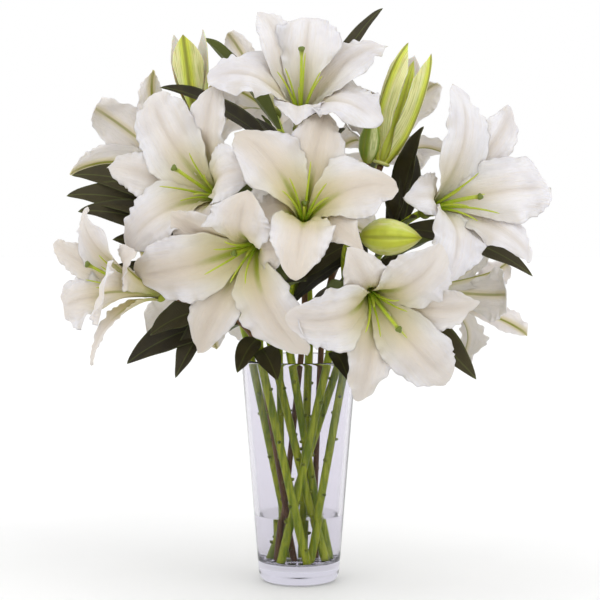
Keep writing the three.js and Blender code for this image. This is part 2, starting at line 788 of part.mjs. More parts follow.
// Materials
const glass = new THREE.MeshStandardMaterial({ color: 0xe3e6ee, roughness: 0.05, metalness: 0 });
const water = new THREE.MeshStandardMaterial({ color: 0xd3dde4, roughness: 0.05, metalness: 0 });
const petal = new THREE.MeshStandardMaterial({ color: 0xf6f3ee, roughness: 0.6, metalness: 0 });
const throat = new THREE.MeshStandardMaterial({ color: 0x94b83a, roughness: 0.5, metalness: 0 });
const budGreen = new THREE.MeshStandardMaterial({ color: 0xb9cc6a, roughness: 0.5, metalness: 0 });
const stemGreen = new THREE.MeshStandardMaterial({ color: 0x5f8430, roughness: 0.5, metalness: 0 });
const stemBrown = new THREE.MeshStandardMaterial({ color: 0x6b4a2e, roughness: 0.6, metalness: 0 });

const bunch = new THREE.Group();
bunch.add(meshOf('vase', vaseSolid(), glass));
bunch.add(meshOf('water', waterSolid(), water));
for (const [name, stem] of Object.entries(STEMS)) {
  const material = stem.radius === BROWN_RADIUS ? stemBrown : stemGreen;
  bunch.add(meshOf(`stem_${name}`, stemSolid(stem, BLOOMS[name]), material));
}
for (const [name, bloom] of Object.entries(BLOOMS)) {
  bunch.add(meshOf(`bloom_${name}`, bloomSolid(bloom), petal));
  bunch.add(meshOf(`pistil_${name}`, pistilSolid(bloom), throat));
}
for (const [name, bud] of Object.entries(BUDS)) {
  bunch.add(meshOf(`bud_${name}`, budSolid(bud), budGreen));
}

export default bunch;
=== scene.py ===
import math

import bpy
import numpy as np
from mathutils import Matrix
from bpy.props import FloatProperty, FloatVectorProperty, IntProperty, PointerProperty
from bpy.types import Operator, Panel, PropertyGroup


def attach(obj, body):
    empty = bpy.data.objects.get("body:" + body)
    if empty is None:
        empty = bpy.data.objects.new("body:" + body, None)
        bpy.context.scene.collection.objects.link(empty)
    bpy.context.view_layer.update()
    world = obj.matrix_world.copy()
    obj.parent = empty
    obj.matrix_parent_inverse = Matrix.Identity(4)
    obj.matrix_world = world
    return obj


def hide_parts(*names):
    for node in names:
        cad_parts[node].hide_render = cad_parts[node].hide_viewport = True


bl_info = {
    "name": "Lilies in a Glass Vase",
    "version": (1, 0, 0),
    "blender": (4, 5, 0),
    "location": "3D View > Sidebar > Lilies",
    "description": "Dresses a bunch of white lilies and its tapered glass vase around their packed frame",
    "category": "Object",
}

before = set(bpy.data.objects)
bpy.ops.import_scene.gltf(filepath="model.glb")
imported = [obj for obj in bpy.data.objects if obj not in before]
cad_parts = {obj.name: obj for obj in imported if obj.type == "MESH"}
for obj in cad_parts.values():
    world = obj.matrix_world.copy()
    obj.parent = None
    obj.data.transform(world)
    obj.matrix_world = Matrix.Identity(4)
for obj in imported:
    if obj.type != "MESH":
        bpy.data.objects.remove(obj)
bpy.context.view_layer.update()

# Lengths below are millimetres, like the frame's own source. Meshes are scaled to metres once,
# where they are made.
MM = 0.001
GAP = 0.3  # between pieces that rest on each other
UP = np.array([0.0, 0.0, 1.0])

# Vase and water
VASE_HEIGHT = 225
RIM_RADIUS = 57.6
HEEL_RADIUS = 41
HEEL_HEIGHT = 14
FOOT_RADIUS = 34
RIM_WALL = 3.6
HEEL_WALL = 5.6
FLOOR_HEIGHT = 20
FLOOR_RADIUS = 32
WATER_LEVEL = 69
TURNED_SEGMENTS = 120
GLASS_IOR = 1.5
WATER_IOR = 1.14  # below real water's 1.33
WATER_DENSITY = 1.0
GLASS_REFLECTION = 0.15  # share of the full reflection of clear glass or water

# Blooms: where the six tepals meet the flower stalk, and which way the flower faces.
# A tepal is [turn about the axis, reach from it, rise along it, arch above the rise, half width].
# `style` is the length of the style, `lean` how much further up than usual the pistil leans at
# its tip, `spread` how far the filaments spread, and `age` how long the bloom has been open, from
# 0 to 1, which also sets how much painted shade the bloom gets, higher for blooms deep in the bunch.
TEPAL_ARCH = 30
INNER_HALF_WIDTH = 31
OUTER_HALF_WIDTH = 22
TEPAL_NECK = 44
THROAT_RADIUS = 3.2
LAYER = 2.4
STEP_BACK = 6
CUP_RADIUS = 7.4
CUP_HALF_HEIGHT = 4
CUP_SIDES = 24
INNER_COLUMNS = 29
OUTER_COLUMNS = 23
TEPAL_WIDEST = 0.55  # place along a tepal
TEPAL_HALF_THICKNESS = 0.62
TEPAL_KEEL = 0.55
YOUNG = 0.05  # age of a bloom that has none of its own

BLOOMS = {
    "centre": dict(
        base=[4, -105, 359], axis=[0.05, -0.80, 0.60],
        inner=[[10, 88, 45], [132, 96, 52, 30, 31], [262, 90, 45, 30, 27]],
        outer=[[78, 100, 55, 30, 26], [192, 50, 25], [315, 75, 40, 30, 17]],
        style=34, age=1,
    ),
    "top": dict(
        base=[1, -40, 452], axis=[0.02, -0.57, 0.82],
        inner=[[80, 73, 82], [180, 91, 60, 30, 36], [328, 90, 40, 30, 33]],
        outer=[[30, 99, 63, 30, 28], [121, 82, 92, 20, 19], [262, 60, 46]],
        style=90, age=0.2,
    ),
    "upper_left": dict(
        base=[-71, -60, 384], axis=[-0.55, -0.77, 0.31],
        inner=[[130, 118, 52], [225, 92, 50], [15, 71, 50, 30, 28]],
        outer=[[88, 108, 50], [172, 115, 50], [292, 54, 40]],
        style=86, age=0.5,
    ),
    "lower_left": dict(
        base=[-35, -100, 348], axis=[-0.45, -0.82, -0.30],
        inner=[[72, 68, 45], [189, 118, 50], [302, 112, 50]],
        outer=[[12, 54, 38], [150, 83, 40], [238, 118, 50]],
        style=54, age=1,
    ),
    "lower_right": dict(
        base=[64, -100, 304], axis=[0.28, -0.85, -0.42],
        inner=[[58, 85, 50], [182, 96, 50], [314, 114, 50, 30, 28]],
        outer=[[4, 98, 50], [124, 80, 46], [264, 100, 50]],
        age=0.6,
    ),
    "right": dict(
        base=[121, -60, 373], axis=[0.68, -0.65, 0.34],
        inner=[[88, 104, 70, 30, 29], [358, 103, 75, 30, 31], [242, 92, 38]],
        outer=[[47, 115, 75, 30, 21], [171, 56, 25], [308, 95, 65, 30, 24]],
        style=72, lean=-15, age=0.1,
    ),
    "far_left": dict(
        base=[-133, -66, 293], axis=[-0.86, -0.42, 0.22],
        inner=[[100, 69, 88, 15, 25], [217, 60, 76, 15], [343, 57, 78, 15]],
        outer=[[40, 55, 52], [156, 70, 97, 8, 15], [277, 81, 62, 10, 17]],
        style=82, lean=8, spread=14, age=0.6,
    ),
    "back_left": dict(
        base=[-122, 20, 410], axis=[-0.50, 0.75, 0.43],
        inner=[[31, 88, 58, 30, 23], [150, 90, 52], [270, 90, 52]],
        outer=[[75, 92, 52, 30, 15], [205, 90, 52], [340, 92, 62, 30, 18]],
    ),
    "back_top": dict(
        base=[-25, 70, 468], axis=[-0.25, 0.75, 0.60],
        inner=[[50, 64, 76, 20, 13], [180, 88, 52], [300, 88, 52]],
        outer=[[0, 64, 44], [120, 74, 48], [240, 90, 50]],
    ),
    "back_right_low": dict(
        base=[127, 10, 292], axis=[0.80, 0.35, -0.10],
        inner=[[176, 52, 64, 15, 26], [296, 80, 60], [56, 70, 60]],
        outer=[[228, 48, 105, 5, 14], [348, 85, 60], [108, 42, 84, 15]],
        style=60, spread=7,
    ),
    "back_right_top": dict(
        base=[69, 38, 408], axis=[0.35, 0.45, 0.82],
        inner=[[157, 69, 92, 16, 20], [280, 80, 52], [40, 80, 52]],
        outer=[[100, 80, 52], [220, 80, 52], [340, 80, 52]],
    ),
    "back": dict(
        base=[1, 105, 364], axis=[0.05, 0.92, 0.30],
        inner=[[90, 95, 52], [210, 95, 52], [330, 95, 52]],
        outer=[[30, 95, 52], [150, 95, 52], [270, 95, 52]],
    ),
    "back_low": dict(
        base=[-70, 95, 302], axis=[-0.45, 0.80, -0.30],
        inner=[[90, 90, 52], [210, 95, 52], [330, 95, 52]],
        outer=[[30, 90, 52], [150, 90, 52], [270, 66, 60]],
    ),
}

# Pistils: a style with its stigma, and six bare filaments around it
STYLE_LENGTH = 95
PISTIL_SPREAD = 20
FILAMENT_COUNT = 6
FILAMENT_TURN = 20
FILAMENT_HEIGHT = 68
FILAMENT_SIDES = 9
FILAMENT_STEP = 5  # every second filament stands this much further out and higher
OVARY_HEIGHT = 12
SHOULDER_HEIGHT = 17  # where the ovary ends and the style begins
STYLE_LIFT = 6  # how far up a style usually leans at its tip
STYLE_SIDES = 18

# Buds: where each meets its stalk. An opening bud has three sepals that spread by `open`, and
# `ripe` is how far a closed bud has turned from green to yellow.
BUDS = {
    "opening_right": dict(base=[80, -35, 418], axis=[0.30, 0.05, 0.95], length=122, radius=19, open=16),
    "opening_left": dict(base=[-104, 20, 468], axis=[-0.08, 0, 1], length=84, radius=14, open=20),
    "short": dict(base=[66, -58, 420], axis=[0.12, -0.10, 0.98], length=46, radius=10, open=0, ripe=0.1),
    "middle": dict(base=[60, -95, 351], axis=[0.97, -0.22, -0.02], length=58, radius=17, open=0, ripe=1),
    "back_right": dict(base=[72, 112, 345], axis=[0.5, 0.85, 0.1], length=66, radius=12, open=0, ripe=0.5),
    "back_left": dict(base=[-130, 70, 330], axis=[-0.75, 0.60, 0.25], length=60, radius=11, open=0, ripe=0.4),
}

# A bud's outline: shares of its greatest radius, at shares of its length
BUD_HEIGHTS = [0, 0.06, 0.17, 0.32, 0.46, 0.66, 0.88, 1]
BUD_SHARES = [0.34, 0.54, 0.78, 0.97, 1, 0.84, 0.40, 0]
BUD_ROWS = 56
BUD_SIDES = 72
SEPAL_COUNT = 3

# Stems, named after the bloom at their end: where each stands on the vase's floor and where it
# passes the rim (x, y). A stalk is [place along the stem, what it carries]. A spread leaf is
# [place, azimuth, elevation], and a reaching leaf is [place, its tip, half width].
STALK_RADIUS = 3.2
GREEN_RADIUS = 4.4
BROWN_RADIUS = 3.2
STEM_SIDES = 20
STEM_END_RADIUS = 3.6
STALK_SIDES = 16
SCAR_SIDES = 10
LEAF_WIDEST = 0.42  # place along a leaf
LEAF_HALF_THICKNESS = 0.42
LEAF_ROWS = 32
LEAF_COLUMNS = 13

# A leaf that is given by its direction is longest and widest at the rim, and loses this much of
# its length and half width on the way up to the bloom.
SPREAD_LENGTH = 114
SPREAD_LENGTH_LOSS = 34
SPREAD_HALF_WIDTH = 15
SPREAD_WIDTH_LOSS = 3

STEMS = {
    "back_left": dict(
        foot=[-6.5, 20], rim=[-48, -4], radius=GREEN_RADIUS,
        stalks=[[0.72, BUDS["opening_left"]]],
        spread=[[0.12, 150], [0.85, 280]],
        reaching=[
            [0.55, [-231, -8, 387], 20], [0.44, [-218, -24, 372], 20], [0.66, [-227, 6, 407], 18],
            [0.30, [-185, -14, 344], 18], [0.22, [-187, -50, 318], 9], [0.15, [-116, 30, 230], 15],
        ],
    ),
    "lower_left": dict(
        foot=[8, -26], rim=[-37, -30], radius=GREEN_RADIUS,
        spread=[[0.25, 300], [0.40, 210]],
        reaching=[[0.12, [-60, -66, 217], 11], [0.06, [-21, -80, 211], 13]],
    ),
    "upper_left": dict(
        foot=[24, -6.5], rim=[-25, -8], radius=GREEN_RADIUS,
        spread=[[0.10, 120], [0.85, 300]],
    ),
    "centre": dict(
        foot=[27, 2], rim=[-8, -10], radius=GREEN_RADIUS,
        spread=[[0.36, 270, 65], [0.50, 0], [0.85, 60]],
        reaching=[[0.32, [50, -45, 324], 17]],
    ),
    "back_top": dict(
        foot=[3, 21], rim=[10, 20], radius=GREEN_RADIUS,
        stalks=[[0.45, BLOOMS["back"]]],
        spread=[[0.12, 60], [0.25, 120], [0.45, 330, 65], [0.65, 210, 65]],
        reaching=[[0.90, [-98, 55, 546], 14], [0.75, [-137, -16, 494], 13]],
    ),
    "lower_right": dict(
        foot=[-17, -18.5], rim=[29, -18.5], radius=GREEN_RADIUS,
        stalks=[[0.50, BUDS["middle"]]],
        spread=[[0.08, 240], [0.20, 300], [0.32, 270], [0.45, 330], [0.70, 90]],
        reaching=[[0.05, [49, -70, 208], 9]],
    ),
    "right": dict(
        foot=[-25, 6], rim=[43, 8], radius=GREEN_RADIUS,
        spread=[[0.12, 60], [0.40, 30], [0.55, 300], [0.78, 90]],
        reaching=[[0.80, [231, -25, 308], 15], [0.70, [123, -20, 456], 20], [0.85, [113, 10, 433], 11]],
    ),
    "back_right_low": dict(
        foot=[10, -17], rim=[46.5, -13], radius=4.2,
        spread=[[0.20, 30], [0.75, 300], [0.85, 30]],
        reaching=[[0.45, [174, -45, 208], 20], [0.35, [169, -24, 225], 12]],
    ),
    "top": dict(
        foot=[-20, -5], rim=[2, 8], radius=BROWN_RADIUS,
        spread=[[0.10, 330], [0.50, 300, 65], [0.60, 240]],
        reaching=[[0.95, [84, 20, 574], 10], [0.70, [-43, -10, 464], 13], [0.75, [46, -5, 454], 13]],
    ),
    "far_left": dict(
        foot=[-4, -6], rim=[-38, -17], radius=BROWN_RADIUS,
        reaching=[[0.35, [-170, -32, 222], 20], [0.50, [-121, -50, 210], 15], [0.60, [-146, -40, 251], 16]],
    ),
    "back_right_top": dict(
        foot=[14, 14], rim=[22, 17], radius=BROWN_RADIUS,
        stalks=[[0.60, BUDS["opening_right"]], [0.72, BUDS["short"]], [0.35, BUDS["back_right"]]],
        spread=[[0.25, 30], [0.45, 90], [0.70, 60], [0.90, 300]],
    ),
    "back_low": dict(
        foot=[-17.2, 22.5], rim=[-20, 30], radius=4.0,
        stalks=[[0.60, BUDS["back_left"]]],
        spread=[[0.10, 60], [0.50, 60], [0.75, 210]],
    ),
}

# First seed of the random draws of each kind of piece
BLOOM_SEED = 100
BUD_SEED = 200
STEM_SEED = 300

# Camera, floor and lights. A light is where it shines from, in metres, and how many degrees wide
# it looks.
CAMERA_PLACE = (1, -2100, 438)
CAMERA_TARGET = (1, 0, 283)
FOCAL_PIXELS = 2106
PHOTO_PIXELS = 600
SENSOR_WIDTH = 36
FLOOR_REACH = 6
KEY_LIGHT = ((1.4, -1.3, 2.2), 50)
FILL_LIGHT = ((-1.9, -1.4, 0.9), 120)
LIGHT_TARGET = (0, 0, 0.35)


def linear(red, green, blue):
    """A screen colour, 0 to 255, as the linear colour that shaders take."""
    shares = [value / 255 for value in (red, green, blue)]
    return tuple(s / 12.92 if s <= 0.04045 else ((s + 0.055) / 1.055) ** 2.4 for s in shares)


# Shapes in numbers

def unit(vector):
    vector = np.asarray(vector, float)
    return vector / np.linalg.norm(vector, axis=-1, keepdims=True)


def smooth(low, high, value):
    share = np.clip((np.asarray(value, float) - low) / (high - low), 0, 1)
    return share * share * (3 - 2 * share)


def swing(cycles, start=0):
    """A sine wave after so many cycles from its start angle."""
    return np.sin(2 * np.pi * cycles + start)


def hump(distance, width):
    """Falls smoothly from 1 on a line to nothing a few widths away from it."""
    return np.exp(-((distance / width) ** 2))


def ring_angles(sides):
    return np.arange(sides) * 2 * np.pi / sides


def curve_point(handles, at):
    at = np.asarray(at, float)[..., None]
    a, b, c, d = (np.asarray(handle, float) for handle in handles)
    return (1 - at) ** 3 * a + 3 * (1 - at) ** 2 * at * b + 3 * (1 - at) * at**2 * c + at**3 * d


def curve_way(handles, at):
    at = np.asarray(at, float)[..., None]
    a, b, c, d = (np.asarray(handle, float) for handle in handles)
    return unit((1 - at) ** 2 * (b - a) + 2 * (1 - at) * at * (c - b) + at**2 * (d - c))


def eased(heights, values, at):
    """A smooth curve through given values, with no overshoot between them."""
    heights, values = np.asarray(heights, float), np.asarray(values, float)
    steps = np.diff(values) / np.diff(heights)
    slopes = np.concatenate([[steps[0]], np.zeros(len(steps) - 1), [steps[-1]]])
    for k in range(1, len(steps)):
        if steps[k - 1] * steps[k] > 0:
            slopes[k] = 2 / (1 / steps[k - 1] + 1 / steps[k])
    place = np.clip(np.searchsorted(heights, at, side="right") - 1, 0, len(steps) - 1)
    width = heights[place + 1] - heights[place]
    share = (at - heights[place]) / width
    return (
        values[place] * (1 + 2 * share) * (1 - share) ** 2
        + values[place + 1] * share**2 * (3 - 2 * share)
        + slopes[place] * width * share * (1 - share) ** 2
        - slopes[place + 1] * width * share**2 * (1 - share)
    )


def spread_of(edges, count):
    """Evenly placed stations from 0 to 1, drawn closer together towards both ends by `edges`."""
    at = np.linspace(0, 1, count)
    return at - edges * swing(at) / (2 * np.pi)


# Mesh parts. Each part is a closed body with six values at every corner for its material: how far
# along it is (0 to 1), how far from its midrib (mm), which face (0 upper, 1 back), a tone, how deep
# in a crease it lies, which sets the painted shade in its creases (0 to 1), and how long its flower
# has been open, which also sets the painted shade of blooms deep in the bunch (0 to 1).
VALUES = ("along", "sideways", "back", "tone", "fold", "age")


def part(points, faces, finish=0, **values):
    full = np.ones(len(points))
    numbers = {key: full * values.get(key, 0) for key in VALUES}
    return dict(points=np.asarray(points, float), faces=faces, finish=finish, **numbers)


def ring_faces(rows, sides):
    """Quads between neighbouring rings of corners."""
    first = np.arange(rows - 1)[:, None] * sides + np.arange(sides)[None]
    second = np.arange(rows - 1)[:, None] * sides + (np.arange(sides)[None] + 1) % sides
    return np.stack([first, second, second + sides, first + sides], -1).reshape(-1, 4).tolist()


def fan_faces(first, sides, tip, below=False):
    """Triangles from the ring that begins at corner `first` to one corner above or below it."""
    pairs = [(first + k, first + (k + 1) % sides) for k in range(sides)]
    return [[b, a, tip] if below else [a, b, tip] for a, b in pairs]


def tube(centres, ways, radii, sides, start=None):
    """Rings of corners round a line, with flat ends."""
    across = unit(np.cross(ways[0], start if start is not None else [0.3, 1, 0.1]))
    angles = ring_angles(sides)
    radii = np.asarray(radii, float)
    if radii.ndim == 1:
        radii = np.repeat(radii[:, None], sides, 1)
    rings = []
    for centre, way, row in zip(centres, ways, radii):
        across = unit(across - way * across.dot(way))
        beside = np.cross(way, across)
        out = np.outer(np.cos(angles), across) + np.outer(np.sin(angles), beside)
        rings.append(centre + row[:, None] * out)
    rows = len(rings)
    faces = ring_faces(rows, sides)
    faces.append(list(range(sides))[::-1])
    faces.append([(rows - 1) * sides + k for k in range(sides)])
    along = np.repeat(np.linspace(0, 1, rows), sides)
    return part(np.concatenate(rings), faces, along=along)


def straight_tube(base, way, heights, radii, sides):
    return tube(base + heights[:, None] * way, np.repeat([way], len(heights), 0), radii, sides)


def blade(points, normals, thickness, tone, finish=0, **values):
    """A thin closed blade from its middle surface, sharp at both edges and at the tip."""
    rows, columns = points.shape[:2]
    lower = points - normals * thickness[..., None]
    upper = points + normals * thickness[..., None]
    sides = 2 * columns - 2

    def ringed(over, under):
        return np.concatenate([under[:-1], over[:-1, -2:0:-1]], axis=1)

    rings = ringed(upper, lower)
    back = ringed(np.zeros((rows, columns)), np.ones((rows, columns)))
    back[:, [0, columns - 1]] = 0.5
    corners = np.concatenate([rings.reshape(-1, 3), [points[-1].mean(0)], [rings[0].mean(0)]])
    tip, root = len(corners) - 2, len(corners) - 1
    faces = ring_faces(rows - 1, sides)
    faces += fan_faces((rows - 2) * sides, sides, tip)
    faces += fan_faces(0, sides, root, below=True)
    back = np.append(back.ravel(), [0.5, 0.5])
    for key, value in values.items():
        values[key] = np.append(ringed(value, value).ravel(), [value[-1, 0], 0])
    return part(corners, faces, finish, back=back, tone=tone, **values)


def make_piece(name, parts, finishes, node):
    """Joins parts into one mesh in metres that rides on the body and replaces its node."""
    offsets = np.cumsum([0] + [len(p["points"]) for p in parts])
    points = np.concatenate([p["points"] for p in parts]) * MM
    faces = []
    for p, offset in zip(parts, offsets):
        faces += [[corner + offset for corner in face] for face in p["faces"]]
    mesh = bpy.data.meshes.new(name)
    mesh.from_pydata(points.tolist(), [], faces)
    for key in VALUES:
        values = np.concatenate([p[key] for p in parts]).astype(np.float32)
        mesh.attributes.new(key, "FLOAT", "POINT").data.foreach_set("value", values)
    numbers = np.concatenate([np.full(len(p["faces"]), p["finish"]) for p in parts]).astype(np.int32)
    mesh.polygons.foreach_set("material_index", numbers)
    mesh.shade_smooth()
    for finish in finishes:
        mesh.materials.append(finish)
    piece = bpy.data.objects.new(name, mesh)
    bpy.context.scene.collection.objects.link(piece)
    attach(piece, "root")
    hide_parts(node)
    return piece


# Flowers

def flower_frame(flower):
    """A flower's base and own directions: to the viewer's right, up, and along its axis."""
    along = unit(flower["axis"])
    up = unit(UP - along * UP.dot(along))
    return np.array(flower["base"], float), np.cross(up, along), up, along


def placed(flower, right, up, along):
    base, *ways = flower_frame(flower)
    steps = [np.asarray(amount, float)[..., None] * way for amount, way in zip((right, up, along), ways)]
    return base + sum(steps)


def tepal_shape(numbers, is_inner):
    turn, reach, rise, *rest = numbers
    arch = rest[0] if rest else TEPAL_ARCH
    half_width = rest[1] if len(rest) > 1 else (INNER_HALF_WIDTH if is_inner else OUTER_HALF_WIDTH)
    root = THROAT_RADIUS if is_inner else THROAT_RADIUS + LAYER
    lower = 0 if is_inner else STEP_BACK
    return dict(
        turn=turn, half_width=half_width, is_inner=is_inner, ruffle=3.2 if is_inner else 1.8,
        curl_back=1.5 if is_inner else 1.2, taper=0.62 if is_inner else 0.85, frill=1,
        line=[
            (root, 0), (root + 3.5, TEPAL_NECK - lower),
            (reach * 0.58, rise + arch - lower), (reach, rise),
        ],
    )


def sepal_shape(bud, k):
    """The k-th of the three sepals that stand round an opening bud."""
    length, radius = bud["length"], bud["radius"]
    return dict(
        turn=110 + 360 / SEPAL_COUNT * k, half_width=1.25 * radius, is_inner=False, ruffle=0.3,
        curl_back=0.25, taper=1.05, frill=0.1,
        line=[
            (0.34 * radius, 0), (1.2 * radius, 0.25 * length), (1.15 * radius, 0.7 * length),
            (bud["open"] * (0.75 + 0.25 * k), length * (0.98 - 0.03 * k)),
        ],
    )


def tepal_outline(along, taper):
    """Width along a tepal: a narrow claw, widest just past the middle, and a tip that `taper` sharpens."""
    opening = 0.2 + 0.8 * np.sin(np.pi / 2 * np.minimum(1, along / TEPAL_WIDEST)) ** 1.7
    closing = np.cos(np.pi / 2 * np.clip((along - TEPAL_WIDEST) / (1 - TEPAL_WIDEST), 0, 1))
    return np.where(along <= TEPAL_WIDEST, opening, np.maximum(0, closing) ** taper)


def tepal_surface(flower, tepal, along, across):
    """Middle surface of a tepal: points, normals and the distance from its midrib."""
    base, right, up, axis = flower_frame(flower)
    turn = math.radians(tepal["turn"])
    outward = right * math.cos(turn) + up * math.sin(turn)
    beside = up * math.cos(turn) - right * math.sin(turn)
    middle, slope = curve_point(tepal["line"], along), curve_way(tepal["line"], along)
    radius, height = middle[..., 0], middle[..., 1]
    width = np.minimum(tepal["half_width"] * tepal_outline(along, tepal["taper"]), radius)
    side = np.abs(across)
    bend = (1 - tepal["curl_back"] * smooth(0.2, 0.95, along)) / (radius + 9 * smooth(0.15, 0.5, along))
    bend = np.where(np.abs(bend) < 1e-5, 1e-5, bend)
    sweep = width * across * bend
    ramp = smooth(0.25, 0.6, along) * (1 - 0.6 * smooth(0.88, 1, along))
    phase = tepal["turn"] * 0.7 + np.where(across > 0, 0, 2.2)
    ruffle = tepal["ruffle"] * ramp * side**2.2 * swing(1.9 * along, phase)
    away = slope[..., :1] * axis - slope[..., 1:] * outward
    lift = (1 - np.cos(sweep)) / bend + ruffle
    points = (
        base + radius[..., None] * outward + height[..., None] * axis
        + (np.sin(sweep) / bend)[..., None] * beside + lift[..., None] * away
    )
    lean = (np.clip(sweep, -1.2, 1.2) * (1 - smooth(0.3, 0.6, along)))[..., None]
    return points, np.cos(lean) * away - np.sin(lean) * beside, width * across


def tepal_part(flower, tepal, petals, draw, rows, columns):
    """One tepal with its frilled edges, its sunken midrib and the keel behind it."""
    along, across = np.meshgrid(spread_of(0.15, rows), 2 * spread_of(0.3, columns) - 1, indexing="ij")
    fuller = dict(tepal, half_width=tepal["half_width"] * (1 + 0.09 * tepal["frill"]))
    points, normals, sideways = tepal_surface(flower, fuller, along, across)
    side = np.abs(across)
    share = tepal["half_width"] / INNER_HALF_WIDTH
    frill_depth, groove_depth = petals.frill_depth / MM * share, petals.groove_depth / MM * share
    phases = draw.uniform(0, 2 * np.pi, 12)
    rates = draw.uniform(2.6, 4.2, 2)
    hand = np.where(across > 0, 0, 1).astype(int)
    turns = 2 * np.pi * rates[hand] * (along + 0.05 * swing(2.1 * along, phases[hand + 8]))
    rise = 0.55 + 0.45 * swing(1.3 * along, phases[hand + 10])
    edge = tepal["frill"] * side**2.4 * smooth(0.22, 0.5, along) * (1 - 0.6 * smooth(0.9, 1, along))
    frill = rise * np.sin(turns + phases[hand]) + 0.4 * side**3 * np.sin(2.3 * turns + phases[hand + 2])
    crinkle = side**5 * swing(11 * along, phases[6] + 3 * swing(2 * along, phases[7]))
    swells = sum(
        np.sin(lengthwise * along + crosswise * across + start)
        for lengthwise, crosswise, start in draw.uniform([-30, -8, 0], [30, 8, 2 * np.pi], (8, 3))
    )
    body = smooth(0.1, 0.3, along) * (1 - smooth(0.75, 1, along))
    groove = 0.5 * np.exp(-np.abs(sideways) / 1.8) + 0.7 * hump(sideways, 5.5)
    shoulder = hump(np.abs(sideways) - 9, 4)
    furrow = hump(side - 0.58 - 0.06 * np.sin(4 * along + phases[5]), 0.10)
    sway = np.sin(np.pi * 1.4 * along + phases[4]) * across * body
    ripple = np.cos(2 * np.pi * 4 * side + phases[5]) * side * (1 - side) * body
    settled = 0 if tepal["is_inner"] else 1.2 * tepal["frill"]
    lift = (
        frill_depth * edge * frill
        + groove_depth * body * (0.3 * shoulder - groove - 0.35 * furrow)
        + 2.2 * share * sway + 0.5 * share * ripple
        + tepal["frill"] * body * (0.8 * crinkle + 0.25 * share * np.sqrt(side) * swells)
        - settled * smooth(0.25, 0.45, along)
    )
    # How deep each point lies in a valley of the surface, for the painted shade in its creases
    fold = np.clip(-lift / 3.2, 0, 1)
    beside = unit(points[:, -1:] - points[:, :1] + 1e-9)
    scallop = edge * rise * np.cos(turns + phases[hand]) * np.sign(across)
    drift = draw.uniform(-1, 1) * 3.5 * share * smooth(0.35, 1, along)
    wander = 0.8 * frill_depth * scallop + tepal["frill"] * (drift + 0.5 * crinkle * across)
    points = points + normals * lift[..., None]
    points = points + beside * wander[..., None]
    keel = TEPAL_KEEL * hump(sideways, 2.6) * body
    thickness = np.where(side > 0.999, 0, TEPAL_HALF_THICKNESS * (1 - 0.55 * side**2) + keel)
    tone = 0.65 if tepal["is_inner"] else 1.0
    return blade(points, normals, thickness, tone, along=along, sideways=sideways, fold=fold)


def bloom_parts(flower, petals, draw):
    base, _, _, axis = flower_frame(flower)
    heights = np.array([-4, -3.2, -1.5, 0, 2, 4]) * CUP_HALF_HEIGHT / 4
    radii = CUP_RADIUS * np.array([0.56, 0.74, 0.93, 1, 0.98, 0.9])
    cup = straight_tube(base, axis, heights, radii, CUP_SIDES)
    cup["along"][:] = 0.02
    parts = [cup]
    for layer, is_inner, columns in (("inner", True, INNER_COLUMNS), ("outer", False, OUTER_COLUMNS)):
        for numbers in flower[layer]:
            tepal = tepal_shape(numbers, is_inner)
            parts.append(tepal_part(flower, tepal, petals, draw, petals.rows, columns))
    # Each bloom's time open, which also sets how much painted shade its petals get
    for made in parts:
        made["age"][:] = flower.get("age", YOUNG)
    return parts


def pistil_parts(flower):
    """The ovary and style with a three-lobed stigma, and six bare filaments."""
    lean, spread = flower.get("lean", 0), flower.get("spread", PISTIL_SPREAD)
    length = flower.get("style", STYLE_LENGTH)
    axis = unit(flower["axis"])
    shaft = SHOULDER_HEIGHT + (length - 20) * np.array([0.15, 0.4, 0.7, 0.92])
    tip = length + np.array([-3.2, -1.6, 0, 1.2])
    heights = np.concatenate([[4.3, 6, OVARY_HEIGHT, 14, SHOULDER_HEIGHT], shaft, tip])
    radii = np.array([2.0, 2.4, 2.4, 2.2, 1.8, 1.5, 1.4, 1.4, 1.5, 2.2, 3.0, 3.0, 1.7])
    share = np.clip((heights - SHOULDER_HEIGHT) / (length - SHOULDER_HEIGHT), 0, 1)
    tilt = (STYLE_LIFT + lean) * share**1.3
    centres = placed(flower, 0 * heights, tilt, heights)
    ways = np.gradient(centres, axis=0)
    angles = ring_angles(STYLE_SIDES)
    lobes = np.ones((len(heights), STYLE_SIDES))
    lobes[:5] += 0.12 * np.cos(6 * angles) * np.array([0.4, 1, 1, 1, 0.3])[:, None]
    lobes[-5:] += 0.22 * np.cos(3 * angles) * np.array([0.2, 0.7, 1, 1, 1])[:, None]
    style = tube(centres, unit(ways), radii[:, None] * lobes, STYLE_SIDES)
    style["tone"][:] = np.repeat(smooth(length - 6, length - 1, heights), STYLE_SIDES)
    parts = [style]
    for k in range(FILAMENT_COUNT):
        angle = math.radians(FILAMENT_TURN + 360 / FILAMENT_COUNT * k)
        reach = spread + (FILAMENT_STEP if k % 2 else 0)
        height = FILAMENT_HEIGHT + (FILAMENT_STEP if k % 2 else -FILAMENT_STEP)
        stations = [
            (0.9, 0, OVARY_HEIGHT - 1), (6, 0, STYLE_LENGTH * 0.3),
            (0.45 * reach, 0.3 * lean, height * 0.72), (reach, 0.7 * lean, height),
        ]
        line = [
            placed(flower, out * math.cos(angle), out * math.sin(angle) + tilted, rise)
            for out, tilted, rise in stations
        ]
        at = np.linspace(0, 1, 22)
        radius = 1.5 - 0.9 * at**1.5
        radius[-1] = 0.25
        filament = tube(curve_point(line, at), curve_way(line, at), radius, FILAMENT_SIDES, start=axis)
        parts.append(filament)
    return parts


# Buds

